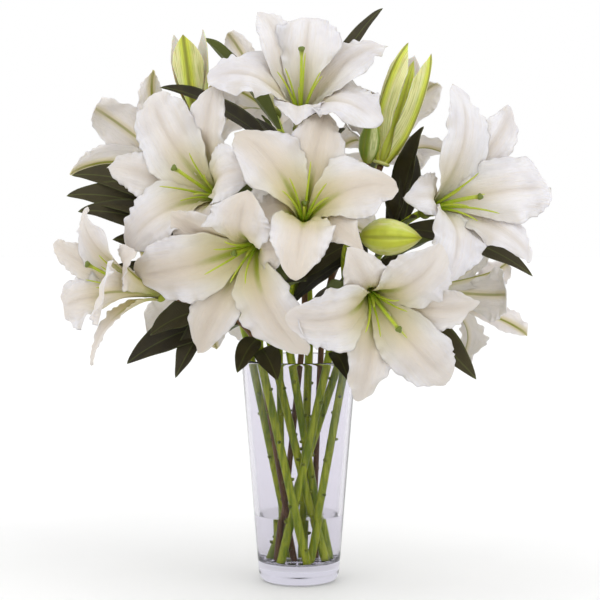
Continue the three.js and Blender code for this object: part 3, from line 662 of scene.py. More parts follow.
def bud_core(bud, length, radius):
    """A three-lobed spindle with a seam between its lobes."""
    rows, sides = BUD_ROWS - 1, BUD_SIDES
    heights = spread_of(0.5, BUD_ROWS)
    angles = ring_angles(sides)
    shares = eased(BUD_HEIGHTS, BUD_SHARES, heights)
    body = smooth(0.02, 0.2, heights)[:, None]
    seams = hump(np.cos(1.5 * angles), 0.16)
    lobes = 1 + body * (0.07 * np.cos(3 * angles) - 0.07 * seams + 0.015 * np.cos(24 * angles))
    out = radius * shares[:, None] * lobes
    rises = (length * heights)[:, None] + 0 * out
    points = placed(bud, out * np.cos(angles), out * np.sin(angles), rises)
    corners = np.concatenate([points[:rows].reshape(-1, 3), [placed(bud, 0, 0, length)]])
    faces = ring_faces(rows, sides)
    faces.append(list(range(sides))[::-1])
    faces += fan_faces((rows - 1) * sides, sides, len(corners) - 1)
    along = np.append(np.repeat(heights[:rows], sides), 1)
    around = np.append(np.tile(np.cos(3 * angles), rows), 1)
    return part(corners, faces, tone=bud.get("ripe", 1), along=along, sideways=around)


def bud_parts(bud, petals, draw):
    if not bud["open"]:
        return [bud_core(bud, bud["length"], bud["radius"])]
    base, _, _, axis = flower_frame(bud)
    radii = (0.34 * bud["radius"] + 2) * np.array([0.8, 1, 1, 0.7])
    seat = straight_tube(base, axis, np.array([0, 1, 3, 4.0]), radii, CUP_SIDES)
    seat["sideways"][:] = 1
    seat["tone"][:] = 1
    parts = [seat, bud_core(bud, 0.88 * bud["length"], 0.62 * bud["radius"])]
    raised = dict(bud, base=base + 2 * axis)
    for k in range(SEPAL_COUNT):
        sepal = tepal_part(raised, sepal_shape(bud, k), petals, draw, petals.rows, OUTER_COLUMNS)
        parts.append(dict(sepal, finish=1))
    return parts


# Stems and leaves

def seat_of(carried):
    """Where a stalk ends below what it carries, and the way it runs there."""
    base, _, _, along = flower_frame(carried)
    below = CUP_HALF_HEIGHT + GAP if "inner" in carried else GAP
    return base - along * below, along


def foot_of(stem):
    return np.array([*stem["foot"], FLOOR_HEIGHT + GAP], float)


def stem_curve(stem, bloom):
    rim = np.array([*stem["rim"], VASE_HEIGHT], float)
    way = unit(rim - foot_of(stem))
    seat, along = seat_of(bloom)
    span = np.linalg.norm(seat - rim)
    return [rim, rim + way * 0.4 * span, seat - along * 0.35 * span, seat]


def stalk_curve(curve, at, carried):
    start = curve_point(curve, at)
    seat, along = seat_of(carried)
    span = np.linalg.norm(seat - start)
    return [start, start + curve_way(curve, at) * 0.15 * span, seat - along * 0.35 * span, seat]


def leaf_places(stem):
    return [leaf[0] for leaf in stem.get("spread", []) + stem.get("reaching", [])]


def stem_tube(stem, curve):
    """The stem with a slight swelling at each leaf, cut level where it rests on the vase's floor."""
    foot, radius = foot_of(stem), stem["radius"]
    way = unit(curve[0] - foot)
    below, above = np.linspace(0, 1, 44)[:-1], np.linspace(0, 1, 90)
    centres = np.concatenate([foot + below[:, None] * (curve[0] - foot), curve_point(curve, above)])
    ways = np.concatenate([np.repeat([way], len(below), 0), curve_way(curve, above)])
    narrowing = radius + (min(radius, STEM_END_RADIUS) - radius) * above
    radii = 0.93 * np.concatenate([np.full(len(below), float(radius)), narrowing])
    for place in leaf_places(stem):
        radii[len(below):] *= 1 + 0.10 * hump(above - place, 0.015)
    ridges = 1 + 0.025 * np.cos(5 * ring_angles(STEM_SIDES))
    made = tube(centres, ways, radii[:, None] * ridges, STEM_SIDES)
    first = made["points"][:STEM_SIDES]
    made["points"][:STEM_SIDES] = first + way * ((foot[2] - first[:, 2:]) / way[2])
    return made


def scar_parts(stem, curve, draw):
    """Small nubs where lower leaves were stripped off, on the stretch that stands in the vase."""
    foot, radius = foot_of(stem), stem["radius"]
    way = unit(curve[0] - foot)
    length = np.linalg.norm(curve[0] - foot)
    across = unit(np.cross(way, [0.3, 1, 0.1]))
    beside = np.cross(way, across)
    stations, rises = radius * np.array([0, 0.35, 0.6, 0.75]), np.array([0, 0.1, 0.5, 0.8])
    radii = 0.30 * radius * np.array([1.6, 1.3, 0.9, 0.35])
    parts = []
    turn = draw.uniform(0, 2 * np.pi)
    place = draw.uniform(14, 26)
    while place < length - 6:
        out = across * math.cos(turn) + beside * math.sin(turn)
        root = foot + way * place + out * radius * 0.72
        centres = root + stations[:, None] * out + rises[:, None] * way
        nub = tube(centres, np.repeat([unit(out + 0.5 * way)], len(radii), 0), radii, SCAR_SIDES)
        nub["tone"][:] = 1
        parts.append(nub)
        turn += 2.4
        place += draw.uniform(15, 27)
    return parts


def leaf_outline(along):
    opening = 0.1 + 0.9 * np.sin(np.pi / 2 * np.minimum(1, along / LEAF_WIDEST))
    closing = np.cos(np.pi / 2 * np.clip((along - LEAF_WIDEST) / (1 - LEAF_WIDEST), 0, 1))
    return np.where(along < LEAF_WIDEST, opening, np.maximum(0, closing) ** 0.8)


def leaf_part(curve, at, tip, half_width, draw):
    """A leaf folded along its midrib, arching from the stem to its tip."""
    tip = np.asarray(tip, float)
    root = curve_point(curve, at)
    span = tip - root
    length = np.linalg.norm(span)
    way = span / length
    start = unit(way + 0.6 * curve_way(curve, at))
    line = [root, root + start * 0.33 * length, root + span * 0.7 + UP * 0.13 * length, tip]
    level = unit(np.cross(UP, way))
    roll = math.radians(58 * way[0] * (1 if tip[1] < 30 else -1))
    rows, columns = spread_of(0.2, LEAF_ROWS), 2 * spread_of(0.2, LEAF_COLUMNS) - 1
    along, across = np.meshgrid(rows, columns, indexing="ij")
    upper = unit(np.cross(curve_way(line, along), level))
    beside = level * math.cos(roll) + upper * math.sin(roll)
    normals = upper * math.cos(roll) - level * math.sin(roll)
    width = half_width * leaf_outline(along)
    side, sideways = np.abs(across), width * across
    phase = tip[0] * 0.1 + np.where(across < 0, 0, 1.9)
    ramp = smooth(0.15, 0.4, along) * (1 - smooth(0.85, 1, along))
    shift = draw.uniform(0, 2 * np.pi, 3)[0]
    wave = side**1.5 * swing(1.6 * along, phase) + 0.5 * side**2 * swing(3.7 * along, shift + phase)
    lanes = 0.18 * np.cos(2 * np.pi * 3 * side)
    groove = 0.5 * hump(sideways, 0.9)
    lift = 0.35 * width * side**1.3 + ramp * (wave + lanes - groove)
    points = curve_point(line, along) + beside * sideways[..., None] + normals * lift[..., None]
    rib = 0.35 * hump(sideways, 1.1)
    thickness = np.where(side > 0.999, 0, LEAF_HALF_THICKNESS * (1 - 0.4 * side) + rib)
    return blade(points, normals, thickness, draw.uniform(0, 1), 1, along=along, sideways=sideways)


def spread_tip(curve, at, azimuth, elevation=None):
    """A spread leaf's tip, further out and lower on the leaves near the rim."""
    turn = math.radians(azimuth)
    rise = math.radians(24 + 26 * at if elevation is None else elevation)
    length = SPREAD_LENGTH - SPREAD_LENGTH_LOSS * at
    step = np.array([math.cos(turn) * math.cos(rise), math.sin(turn) * math.cos(rise), math.sin(rise)])
    return curve_point(curve, at) + length * step - 14 * UP


def stem_parts(stem, bloom, draw):
    curve = stem_curve(stem, bloom)
    parts = [stem_tube(stem, curve)] + scar_parts(stem, curve, draw)
    for at, carried in stem.get("stalks", []):
        line = stalk_curve(curve, at, carried)
        places = np.linspace(0, 1, 40)
        radii = (STALK_RADIUS - 0.2 * places) * (0.95 + 0.12 * smooth(0.9, 1, places))
        parts.append(tube(curve_point(line, places), curve_way(line, places), radii, STALK_SIDES))
    for at, *way in stem.get("spread", []):
        half_width = SPREAD_HALF_WIDTH - SPREAD_WIDTH_LOSS * at
        parts.append(leaf_part(curve, at, spread_tip(curve, at, *way), half_width, draw))
    for at, tip, half_width in stem.get("reaching", []):
        parts.append(leaf_part(curve, at, tip, half_width, draw))
    return parts


# Vase and water

def inner_radius(height):
    """Radius of the vase's straight inner wall at a height."""
    share = (height - HEEL_HEIGHT) / (VASE_HEIGHT - HEEL_HEIGHT)
    return (HEEL_RADIUS - HEEL_WALL) + share * ((RIM_RADIUS - RIM_WALL) - (HEEL_RADIUS - HEEL_WALL))


def rounded(profile, reach, steps=6):
    """The profile with each inner corner cut back by up to `reach` and rounded."""
    profile = [np.array(point, float) for point in profile]
    points = [profile[0]]
    for before, corner, after in zip(profile, profile[1:], profile[2:]):
        cut = min(reach, 0.45 * np.linalg.norm(before - corner), 0.45 * np.linalg.norm(after - corner))
        start, end = corner + cut * unit(before - corner), corner + cut * unit(after - corner)
        at = np.linspace(0, 1, steps)[:, None]
        points += list((1 - at) ** 2 * start + 2 * (1 - at) * at * corner + at**2 * end)
    return points + [profile[-1]]


def turned(profile):
    """A closed body turned about the vase's axis from its first point to its last, both on the axis."""
    profile = np.array(profile, float)
    rings, sides = profile[1:-1], TURNED_SEGMENTS
    rows, angles = len(rings), ring_angles(sides)
    radii, heights = rings[:, :1], rings[:, 1:]
    points = np.stack([radii * np.cos(angles), radii * np.sin(angles), heights + 0 * angles], -1)
    ends = [[0, 0, profile[0, 1]], [0, 0, profile[-1, 1]]]
    points = np.concatenate([points.reshape(-1, 3), ends])
    first, last = len(points) - 2, len(points) - 1
    faces = ring_faces(rows, sides)
    faces += fan_faces(0, sides, first, below=True)
    faces += fan_faces((rows - 1) * sides, sides, last)
    return part(points, faces)


def vase_parts():
    rim_inside = RIM_RADIUS - RIM_WALL
    profile = [
        [0, 0.8], [FOOT_RADIUS - 8, 0.8], [FOOT_RADIUS - 5, 0], [FOOT_RADIUS, 0],
        [FOOT_RADIUS + 4.4, 2.4], [HEEL_RADIUS - 0.6, 7.5], [HEEL_RADIUS, HEEL_HEIGHT],
        [RIM_RADIUS, VASE_HEIGHT - 2.4], [RIM_RADIUS - 0.7, VASE_HEIGHT - 0.6],
        [RIM_RADIUS - RIM_WALL / 2, VASE_HEIGHT], [rim_inside + 0.7, VASE_HEIGHT - 0.6],
        [rim_inside, VASE_HEIGHT - 2.4], [inner_radius(FLOOR_HEIGHT + 8), FLOOR_HEIGHT + 8],
        [FLOOR_RADIUS + 3, FLOOR_HEIGHT + 2.6], [FLOOR_RADIUS, FLOOR_HEIGHT], [0, FLOOR_HEIGHT],
    ]
    return [turned(rounded(profile, 3))]


def water_parts():
    """The water, with a raised meniscus where it meets the glass."""
    wall = inner_radius(WATER_LEVEL)
    profile = [
        [0, FLOOR_HEIGHT - 0.1], [FLOOR_RADIUS, FLOOR_HEIGHT - 0.1],
        [FLOOR_RADIUS + 3.1, FLOOR_HEIGHT + 2.5], [inner_radius(FLOOR_HEIGHT + 8) + 0.1, FLOOR_HEIGHT + 8],
        [wall + 0.1, WATER_LEVEL - 1.0], [wall - 1.4, WATER_LEVEL - 1.4], [wall - 4, WATER_LEVEL - 1.6],
        [0, WATER_LEVEL - 1.6],
    ]
    return [turned(rounded(profile, 2))]


# Finishes

class Finish:
    """A new material and short calls that lay out its nodes."""

    def __init__(self, name):
        self.material = bpy.data.materials.new(name)
        self.material.use_nodes = True
        self.nodes = self.material.node_tree.nodes
        self.shader = self.nodes["Principled BSDF"]
        self.output = self.nodes["Material Output"]

    def join(self, source, target):
        self.material.node_tree.links.new(source, target)

    def value(self, attribute):
        node = self.nodes.new("ShaderNodeAttribute")
        node.attribute_name = attribute
        return node.outputs["Fac"]

    def math(self, operation, *inputs):
        node = self.nodes.new("ShaderNodeMath")
        node.operation = operation
        for socket, given in zip(node.inputs, inputs):
            if isinstance(given, (int, float)):
                socket.default_value = given
            else:
                self.join(given, socket)
        return node.outputs[0]

    def fade(self, source, low, high, start=0.0, end=1.0):
        """Runs smoothly from start to end as source goes from low to high."""
        node = self.nodes.new("ShaderNodeMapRange")
        node.interpolation_type = "SMOOTHSTEP"
        self.join(source, node.inputs["Value"])
        for name, number in (("From Min", low), ("From Max", high), ("To Min", start), ("To Max", end)):
            node.inputs[name].default_value = number
        return node.outputs["Result"]

    def blend(self, share, first, second):
        node = self.nodes.new("ShaderNodeMix")
        node.data_type = "RGBA"
        if isinstance(share, (int, float)):
            node.inputs[0].default_value = share
        else:
            self.join(share, node.inputs[0])
        for socket, given in ((node.inputs[6], first), (node.inputs[7], second)):
            if isinstance(given, bpy.types.NodeSocket):
                self.join(given, socket)
            else:
                socket.default_value = (*given[:3], 1)
        return node.outputs[2]

    def times(self, *shares):
        product = shares[0]
        for share in shares[1:]:
            product = self.math("MULTIPLY", product, share)
        return product

    def layers(self, colour, *coats):
        """The colour with each coat, a share and a colour, blended over the ones before it."""
        for share, coat in coats:
            colour = self.blend(share, colour, coat)
        return colour

    def paint(self, colour, *coats):
        self.join(self.layers(colour, *coats), self.shader.inputs["Base Color"])

    def noise(self, scale, detail=3.0, stretch=(1, 1, 1)):
        place = self.nodes.new("ShaderNodeTexCoord")
        mapping = self.nodes.new("ShaderNodeMapping")
        mapping.inputs["Scale"].default_value = stretch
        self.join(place.outputs["Object"], mapping.inputs["Vector"])
        node = self.nodes.new("ShaderNodeTexNoise")
        node.inputs["Scale"].default_value = scale
        node.inputs["Detail"].default_value = detail
        self.join(mapping.outputs["Vector"], node.inputs["Vector"])
        return node.outputs["Fac"]

    def lanes(self, across, length, detail=2.0):
        """Uneven streaks that run lengthwise: cells per millimetre across, and per part's length."""
        place = self.nodes.new("ShaderNodeCombineXYZ")
        self.join(self.math("MULTIPLY", self.value("sideways"), across), place.inputs[0])
        self.join(self.math("MULTIPLY", self.value("along"), length), place.inputs[1])
        node = self.nodes.new("ShaderNodeTexNoise")
        node.inputs["Scale"].default_value = 1
        node.inputs["Detail"].default_value = detail
        self.join(place.outputs["Vector"], node.inputs["Vector"])
        return node.outputs["Fac"]

    def bump(self, height, strength, distance):
        node = self.nodes.new("ShaderNodeBump")
        node.inputs["Strength"].default_value = strength
        node.inputs["Distance"].default_value = distance
        self.join(height, node.inputs["Height"])
        self.join(node.outputs["Normal"], self.shader.inputs["Normal"])

    def set(self, **numbers):
        for name, number in numbers.items():
            self.shader.inputs[name.replace("_", " ").title().replace("Ior", "IOR")].default_value = number


def petal_finish(petals):
    """White petal: painted shade, warmer and darker, along its middle, in lengthwise streaks, in its creases
    and on blooms deep in the bunch; backs painted lighter; green in the throat, darkened at the very centre
    as painted shade; fine veins; an olive midrib behind.
    """
    made = Finish("petal")
    fade, times = made.fade, made.times
    along, sideways = made.value("along"), made.math("ABSOLUTE", made.value("sideways"))
    back, tone, age = made.value("back"), made.value("tone"), made.value("age")
    front = made.math("SUBTRACT", 1, back)
    lanes, fine = made.lanes(0.55, 5), made.lanes(2.2, 14)
    # Painted shade: a warmer, darker tone along the middle of each petal towards its shaded throat, stronger
    # on blooms deep in the bunch
    painted_warm_shade = times(fade(along, 0.3, 0.8, 1, 0.1), fade(sideways, 2, 26, 0.9, 0.15), fade(age, 0, 1, 0.5, 1))
    # Painted shade: a darker, warmer middle on the blooms that lie deep in the bunch
    painted_bunch_shade = times(fade(age, 0, 1, 0, 0.65), fade(sideways, 8, 26, 1, 0.2))
    # Painted shade: front faces darker where they lie deep in a crease
    painted_crease_shade = times(fade(made.value("fold"), 0.1, 1, 0, 0.4), front)
    glow = times(fade(along, 0.16, 0.66, 0.95, 0), fade(age, 0, 0.8, 0.3, 1))
    reach = made.math("MULTIPLY_ADD", made.noise(90), 0.14, along)
    streak = times(fade(sideways, 0.8, 5, 1, 0), fade(reach, 0.32, 0.62, 1, 0), fade(age, 0, 0.8, 0.1, 1))
    halo = times(fade(sideways, 1, 7, 0.7, 0), back, tone)
    stripe = times(fade(sideways, 0.5, 2, 1, 0), fade(along, 0.7, 1, 1, 0.5), back, tone)
    made.paint(
        petals.white,
        (fade(made.noise(30), 0.35, 0.7), petals.shade),
        (painted_warm_shade, petals.warm_shade),
        (painted_bunch_shade, petals.painted_bunch_shade),
        # Painted shade: warmer lengthwise streaks for the shade in the petal's pleats
        (fade(lanes, 0.45, 0.75, 0, 0.2), petals.warm_shade),
        (painted_crease_shade, petals.fold),
        # Painted light: the petals' backs lightened where shade falls on them
        (times(back, 0.75), petals.outside),
        (glow, petals.cream),
        (fade(along, 0.07, 0.24, 1, 0), petals.throat),
        # Green of the very centre, darkened there as painted shade in the deep throat
        (fade(along, 0.03, 0.13, 1, 0), petals.depth),
        (times(streak, front), petals.throat),
        (halo, petals.cream),
        (stripe, petals.rib),
        (fade(fine, 0.5, 0.8, 0, 0.4), petals.vein),
    )
    made.bump(made.math("ADD", fine, lanes), 0.5, 0.0018)
    made.set(roughness=0.5, subsurface_weight=0.4, subsurface_scale=0.004, specular_ior_level=0.3)
    made.shader.inputs["Subsurface Radius"].default_value = (1.0, 0.9, 0.7)
    return made.material


def sepal_finish(petals):
    """Sepal of an opening bud: green outside with paler edges, whitish inside."""
    made = Finish("sepal")
    fade = made.fade
    along, sideways = made.value("along"), made.math("ABSOLUTE", made.value("sideways"))
    veins = made.math("SINE", made.times(sideways, 3.6))
    outside = made.layers(
        petals.rib,
        (fade(sideways, 0.6, 3), petals.bud),
        (fade(sideways, 3, 9, 0, 0.85), petals.bud_pale),
        (fade(made.lanes(0.8, 3), 0.45, 0.7, 0, 0.55), petals.throat),
    )
    made.paint(
        petals.white,
        (fade(along, 0.2, 0.8, 0.8, 0.15), petals.cream),
        (made.value("back"), outside),
        (fade(made.noise(60), 0.4, 0.75, 0, 0.25), petals.throat),
        (fade(veins, 0.2, 1, 0, 0.15), petals.rib),
    )
    made.bump(veins, 0.25, 0.0004)
    made.set(roughness=0.42, subsurface_weight=0.2, subsurface_scale=0.003)
    return made.material


def bud_finish(petals):
    """Closed bud: yellow-green with paler stripes, darker along its seams."""
    made = Finish("bud")
    fade = made.fade
    along, around = made.value("along"), made.value("sideways")
    stripe = made.times(fade(around, -0.2, 0.9, 0, 0.8), fade(made.lanes(3, 4), 0.35, 0.65, 0.4, 1))
    made.paint(
        petals.bud_green,
        (made.value("tone"), petals.bud),
        (stripe, petals.bud_pale),
        (fade(around, -1, -0.86, 0.5, 0), petals.rib),
        (fade(along, 0, 0.22, 0.7, 0), petals.rib),
        (fade(along, 0.86, 1, 0, 0.6), petals.rib),
        (fade(made.noise(90), 0.45, 0.75, 0, 0.3), petals.throat),
    )
    made.bump(made.noise(260), 0.15, 0.0004)
    made.set(roughness=0.38, subsurface_weight=0.15, subsurface_scale=0.003)
    return made.material


def pistil_finish(petals):
    """Yellow-green style and filaments, with a dark green stigma."""
    made = Finish("pistil")
    made.paint(
        petals.style,
        (made.fade(made.value("along"), 0, 0.9), petals.style_tip),
        (made.fade(made.noise(300), 0.4, 0.7, 0, 0.25), petals.cream),
        (made.value("tone"), petals.stigma),
    )
    made.bump(made.noise(900), 0.1, 0.0002)
    made.set(roughness=0.4, subsurface_weight=0.2, subsurface_scale=0.002)
    return made.material


def stem_finish(name, colour, pale, scar):
    """Stem: streaked lengthwise, with paler patches and leaf scars."""
    made = Finish(name)
    streaks = made.noise(260, 4, (1, 1, 0.12))
    made.paint(
        colour,
        (made.fade(streaks, 0.35, 0.7, 0.05, 0.85), pale),
        (made.fade(made.noise(45), 0.5, 0.75, 0, 0.5), pale),
        (made.times(made.value("tone"), 0.6), scar),
    )
    made.bump(streaks, 0.3, 0.0006)
    made.set(roughness=0.45, specular_ior_level=0.4)
    return made.material


def leaf_finish(greens):
    """Leaf: dark and glossy above, paler behind, with fine lengthwise veins."""
    made = Finish("leaf")
    fade = made.fade
    along, sideways = made.value("along"), made.math("ABSOLUTE", made.value("sideways"))
    veins = made.math("SINE", made.times(sideways, 5.2))
    made.paint(
        greens.leaf,
        (made.times(made.value("tone"), 0.55), greens.leaf_light),
        (fade(made.noise(70), 0.4, 0.75, 0, 0.5), greens.leaf_light),
        (made.times(made.value("back"), 0.6), greens.leaf_back),
        (fade(sideways, 0.2, 1, 0.25, 0), greens.leaf_back),
        (fade(along, 0, 0.12, 0.3, 0), greens.leaf_back),
        (fade(veins, 0.4, 1, 0, 0.18), greens.leaf_light),
    )
    made.bump(veins, 0.35, 0.0004)
    made.set(roughness=0.5, specular_ior_level=0.3)
    return made.material


def clear_finish(name, face, tint, ior, density):
    """Clear glass or water: `face` tints each face looked through, and `tint` the depth between them."""
    made = Finish(name)
    made.set(ior=ior, roughness=0.0, transmission_weight=1.0, specular_ior_level=0.25)
    made.shader.inputs["Base Color"].default_value = (*face, 1)
    made.shader.inputs["Specular Tint"].default_value = (*[GLASS_REFLECTION] * 3, 1)
    absorb = made.nodes.new("ShaderNodeVolumeAbsorption")
    absorb.inputs["Color"].default_value = (*tint, 1)
    absorb.inputs["Density"].default_value = density
    made.join(absorb.outputs["Volume"], made.output.inputs["Volume"])
    return made.material


# Settings that a user would change

def colour_setting(name, description, value):
    return FloatVectorProperty(
        name=name, description=description, subtype="COLOR", size=3, min=0, max=1, default=linear(*value),
    )


def number_setting(name, description, value, most, **more):
    return FloatProperty(name=name, description=description, default=value, min=0, max=most, **more)


class LilyPetalSettings(PropertyGroup):
    rows: IntProperty(name="Rows", description="Rows of faces along each petal", default=80, min=8, max=120)
    frill_depth: number_setting("Frill", "How far a petal's edge frills", 0.003, 0.006, unit="LENGTH")
    groove_depth: number_setting("Groove", "Depth of a midrib's groove", 0.0024, 0.006, unit="LENGTH")
    white: colour_setting("White", "Petal colour in full light", (229, 227, 231))
    shade: colour_setting("Shade", "Petal colour in its cooler patches", (214, 211, 216))
    vein: colour_setting("Veins", "Colour of the fine veins", (196, 192, 182))
    # Painted shade, warmer and darker, along the middle of a petal
    warm_shade: colour_setting("Warm", "Petal colour along its middle", (216, 200, 178))
    # Painted shade for the middles of blooms deep in the bunch
    painted_bunch_shade: colour_setting("Aged", "Colour that the middle of a petal ages to", (202, 188, 168))
    # Painted shade deep in a petal's creases
    fold: colour_setting("Fold", "Petal colour deep in its folds", (190, 178, 160))
    cream: colour_setting("Cream", "Colour of a petal near its throat", (204, 192, 134))
    # Green of a bloom's centre, darkened as painted shade
    depth: colour_setting("Depth", "Green at the very centre of a bloom", (92, 100, 20))
    throat: colour_setting("Throat", "Green of the throat and its streaks", (148, 158, 30))
    # Painted light: a lighter colour that lifts the shaded backs of the petals
    outside: colour_setting("Outside", "Colour of a petal's back", (242, 233, 229))
    rib: colour_setting("Rib", "Olive of the midrib behind a petal", (146, 148, 44))
    bud: colour_setting("Bud", "Yellow-green of a ripe bud", (212, 222, 74))
    bud_green: colour_setting("Young bud", "Green of a bud that is still short", (104, 132, 34))
    bud_pale: colour_setting("Pale bud", "Paler stripes of a bud", (232, 230, 176))
    style: colour_setting("Style", "Green of the style and filaments at their foot", (160, 192, 22))
    style_tip: colour_setting("Style tip", "Green of the filaments at their tip", (176, 192, 48))
    stigma: colour_setting("Stigma", "Green of the stigma", (96, 110, 22))


class LilyGreenSettings(PropertyGroup):
    stem: colour_setting("Stem", "Green of the stems", (108, 134, 2))
    stem_pale: colour_setting("Pale stem", "Paler streaks on the stems", (194, 204, 44))
    brown: colour_setting("Brown stem", "Brown of the woody stems", (88, 56, 32))
    brown_pale: colour_setting("Pale brown stem", "Paler streaks on the woody stems", (124, 90, 48))
    scar: colour_setting("Scar", "Colour of the leaf scars", (92, 100, 32))
    leaf: colour_setting("Leaf", "Darkest colour of the leaves", (38, 32, 18))
    leaf_light: colour_setting("Light leaf", "Lighter colour of the leaves", (66, 60, 24))
    leaf_back: colour_setting("Leaf back", "Green of a leaf's back and midrib", (112, 126, 56))


class LilyGlassSettings(PropertyGroup):
    face: colour_setting("Face", "Tint of each face of the glass", (236, 234, 240))
    glass: colour_setting("Glass", "Tint of thick glass", (214, 214, 226))
    water: colour_setting("Water", "Tint of deep water", (222, 230, 226))
    density: number_setting("Density", "Strength of the glass's tint, per metre", 10, 200)


class LilyStudioSettings(PropertyGroup):
    floor: colour_setting("Floor", "Colour of the floor", (244, 244, 244))
    sky_strength: number_setting("Sky", "Strength of the white surroundings", 1, 5)
    key_strength: number_setting("Key light", "Strength of the soft light from the right", 0.6, 10)
    fill_strength: number_setting("Fill light", "Strength of the light from the left", 0.8, 10)


class LILIES_OT_blooms(Operator):
    """Add the tepals of every bloom"""

    bl_idname = "lilies.blooms"
    bl_label = "Add blooms"

    def execute(self, context):
        petals = context.scene.lily_petals
        finish = petal_finish(petals)
        for number, (name, flower) in enumerate(BLOOMS.items()):
            draw = np.random.default_rng(BLOOM_SEED + number)
            make_piece(f"lily_{name}", bloom_parts(flower, petals, draw), [finish], f"bloom_{name}")
        return {"FINISHED"}


class LILIES_OT_pistils(Operator):
    """Add the style and filaments of every bloom"""

    bl_idname = "lilies.pistils"
    bl_label = "Add pistils"

    def execute(self, context):
        finish = pistil_finish(context.scene.lily_petals)
        for name, flower in BLOOMS.items():
            make_piece(f"style_{name}", pistil_parts(flower), [finish], f"pistil_{name}")
        return {"FINISHED"}


class LILIES_OT_buds(Operator):
    """Add the closed and the opening buds"""

    bl_idname = "lilies.buds"
    bl_label = "Add buds"

    def execute(self, context):
        petals = context.scene.lily_petals
        finishes = [bud_finish(petals), sepal_finish(petals)]
        for number, (name, bud) in enumerate(BUDS.items()):
            draw = np.random.default_rng(BUD_SEED + number)
            make_piece(f"lily_bud_{name}", bud_parts(bud, petals, draw), finishes, f"bud_{name}")
        return {"FINISHED"}


class LILIES_OT_stems(Operator):
    """Add the stems, their stalks and their leaves"""

    bl_idname = "lilies.stems"
    bl_label = "Add stems and leaves"

    def execute(self, context):
        greens = context.scene.lily_greens
        leaf = leaf_finish(greens)
        green = stem_finish("stem_green", greens.stem, greens.stem_pale, greens.scar)
        brown = stem_finish("stem_brown", greens.brown, greens.brown_pale, greens.scar)
        for number, (name, stem) in enumerate(STEMS.items()):
            draw = np.random.default_rng(STEM_SEED + number)
            is_brown = stem["radius"] == BROWN_RADIUS
            make_piece(
                f"stalk_{name}", stem_parts(stem, BLOOMS[name], draw), [brown if is_brown else green, leaf],
                f"stem_{name}",
            )
        return {"FINISHED"}


class LILIES_OT_vase(Operator):
    """Add the glass vase and the water in it"""

    bl_idname = "lilies.vase"
    bl_label = "Add vase and water"

    def execute(self, context):
        glass = context.scene.lily_glass
        clear = clear_finish("glass", glass.face, glass.glass, GLASS_IOR, glass.density)
        body = make_piece("glass_vase", vase_parts(), [clear], "vase")
        clear = clear_finish("water", (1, 1, 1), glass.water, WATER_IOR, WATER_DENSITY)
        still = make_piece("vase_water", water_parts(), [clear], "water")
        for piece in (body, still):
            piece.visible_shadow = False
        return {"FINISHED"}


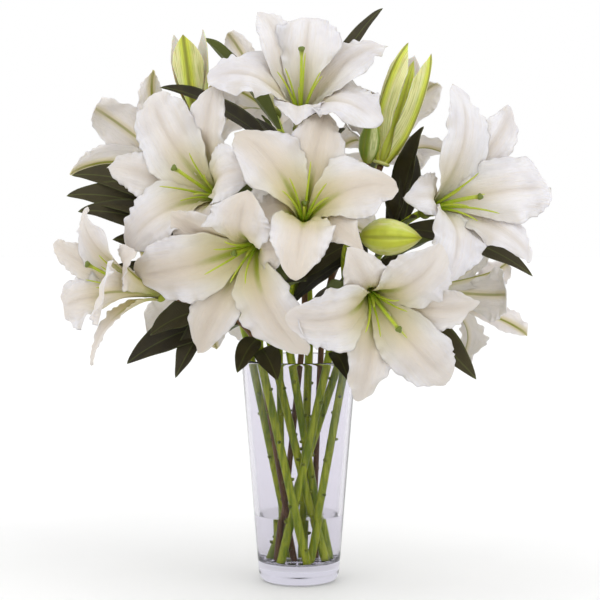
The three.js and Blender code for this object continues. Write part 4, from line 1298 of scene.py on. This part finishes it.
class LILIES_OT_stage(Operator):
    """Add the floor, the lights and the camera"""

    bl_idname = "lilies.stage"
    bl_label = "Add stage"

    def execute(self, context):
        studio = context.scene.lily_studio
        scene = context.scene
        made = Finish("floor")
        darker = [0.97 * share for share in studio.floor]
        made.paint(studio.floor, (made.fade(made.noise(6), 0.3, 0.7, 0, 0.5), darker))
        made.set(roughness=0.6, specular_ior_level=0.2)
        mesh = bpy.data.meshes.new("floor")
        corners = [(x * FLOOR_REACH, y * FLOOR_REACH, 0) for x, y in ((-1, -1), (1, -1), (1, 1), (-1, 1))]
        mesh.from_pydata(corners, [], [[0, 1, 2, 3]])
        mesh.materials.append(made.material)
        floor = bpy.data.objects.new("floor", mesh)
        scene.collection.objects.link(floor)
        world = bpy.data.worlds.new("studio")
        world.use_nodes = True
        sky = world.node_tree.nodes["Background"]
        sky.inputs["Color"].default_value = (1, 1, 1, 1)
        sky.inputs["Strength"].default_value = studio.sky_strength
        scene.world = world
        self.add_light(scene, "key", *KEY_LIGHT, studio.key_strength)
        self.add_light(scene, "fill", *FILL_LIGHT, studio.fill_strength)
        self.add_camera(scene)
        scene.view_settings.view_transform = "Standard"
        return {"FINISHED"}

    def add_light(self, scene, name, place, spread, strength):
        """A far soft light that shines from a place, `spread` degrees across."""
        data = bpy.data.lights.new(name, "SUN")
        data.angle = math.radians(spread)
        data.energy = strength
        lamp = bpy.data.objects.new(name, data)
        lamp.location = place
        aim(lamp, LIGHT_TARGET)
        scene.collection.objects.link(lamp)

    def add_camera(self, scene):
        data = bpy.data.cameras.new("camera")
        data.sensor_width = SENSOR_WIDTH
        data.lens = FOCAL_PIXELS / PHOTO_PIXELS * SENSOR_WIDTH
        data.clip_start, data.clip_end = 0.05, 50
        camera = bpy.data.objects.new("camera", data)
        camera.location = [number * MM for number in CAMERA_PLACE]
        aim(camera, [number * MM for number in CAMERA_TARGET])
        scene.collection.objects.link(camera)
        scene.camera = camera


def aim(thing, target):
    """Turns a light or camera to face a point, upright."""
    back = unit(np.array(thing.location) - np.array(target))
    right = unit(np.cross(UP, back))
    up = np.cross(back, right)
    turn = np.eye(4)
    turn[:3, 0], turn[:3, 1], turn[:3, 2], turn[:3, 3] = right, up, back, thing.location
    thing.matrix_world = Matrix(turn.tolist())


class LILIES_PT_panel(Panel):
    bl_label = "Lilies in a Vase"
    bl_idname = "LILIES_PT_panel"
    bl_space_type = "VIEW_3D"
    bl_region_type = "UI"
    bl_category = "Lilies"

    def draw(self, context):
        layout = self.layout
        for operator in OPERATORS:
            layout.operator(operator.bl_idname)
        for group, kind in SETTINGS.items():
            box = layout.box()
            box.label(text=kind.bl_rna.name)
            for key in kind.__annotations__:
                box.prop(getattr(context.scene, group), key)


OPERATORS = [
    LILIES_OT_blooms, LILIES_OT_pistils, LILIES_OT_buds, LILIES_OT_stems, LILIES_OT_vase, LILIES_OT_stage,
]
SETTINGS = {
    "lily_petals": LilyPetalSettings,
    "lily_greens": LilyGreenSettings,
    "lily_glass": LilyGlassSettings,
    "lily_studio": LilyStudioSettings,
}


def register():
    for kind in [*SETTINGS.values(), *OPERATORS, LILIES_PT_panel]:
        bpy.utils.register_class(kind)
    for name, kind in SETTINGS.items():
        setattr(bpy.types.Scene, name, PointerProperty(type=kind))


def unregister():
    for name in SETTINGS:
        delattr(bpy.types.Scene, name)
    for kind in reversed([*SETTINGS.values(), *OPERATORS, LILIES_PT_panel]):
        bpy.utils.unregister_class(kind)


def main():
    register()
    bpy.ops.lilies.blooms()
    bpy.ops.lilies.pistils()
    bpy.ops.lilies.buds()
    bpy.ops.lilies.stems()
    bpy.ops.lilies.vase()
    bpy.ops.lilies.stage()


if __name__ == "__main__":
    main()
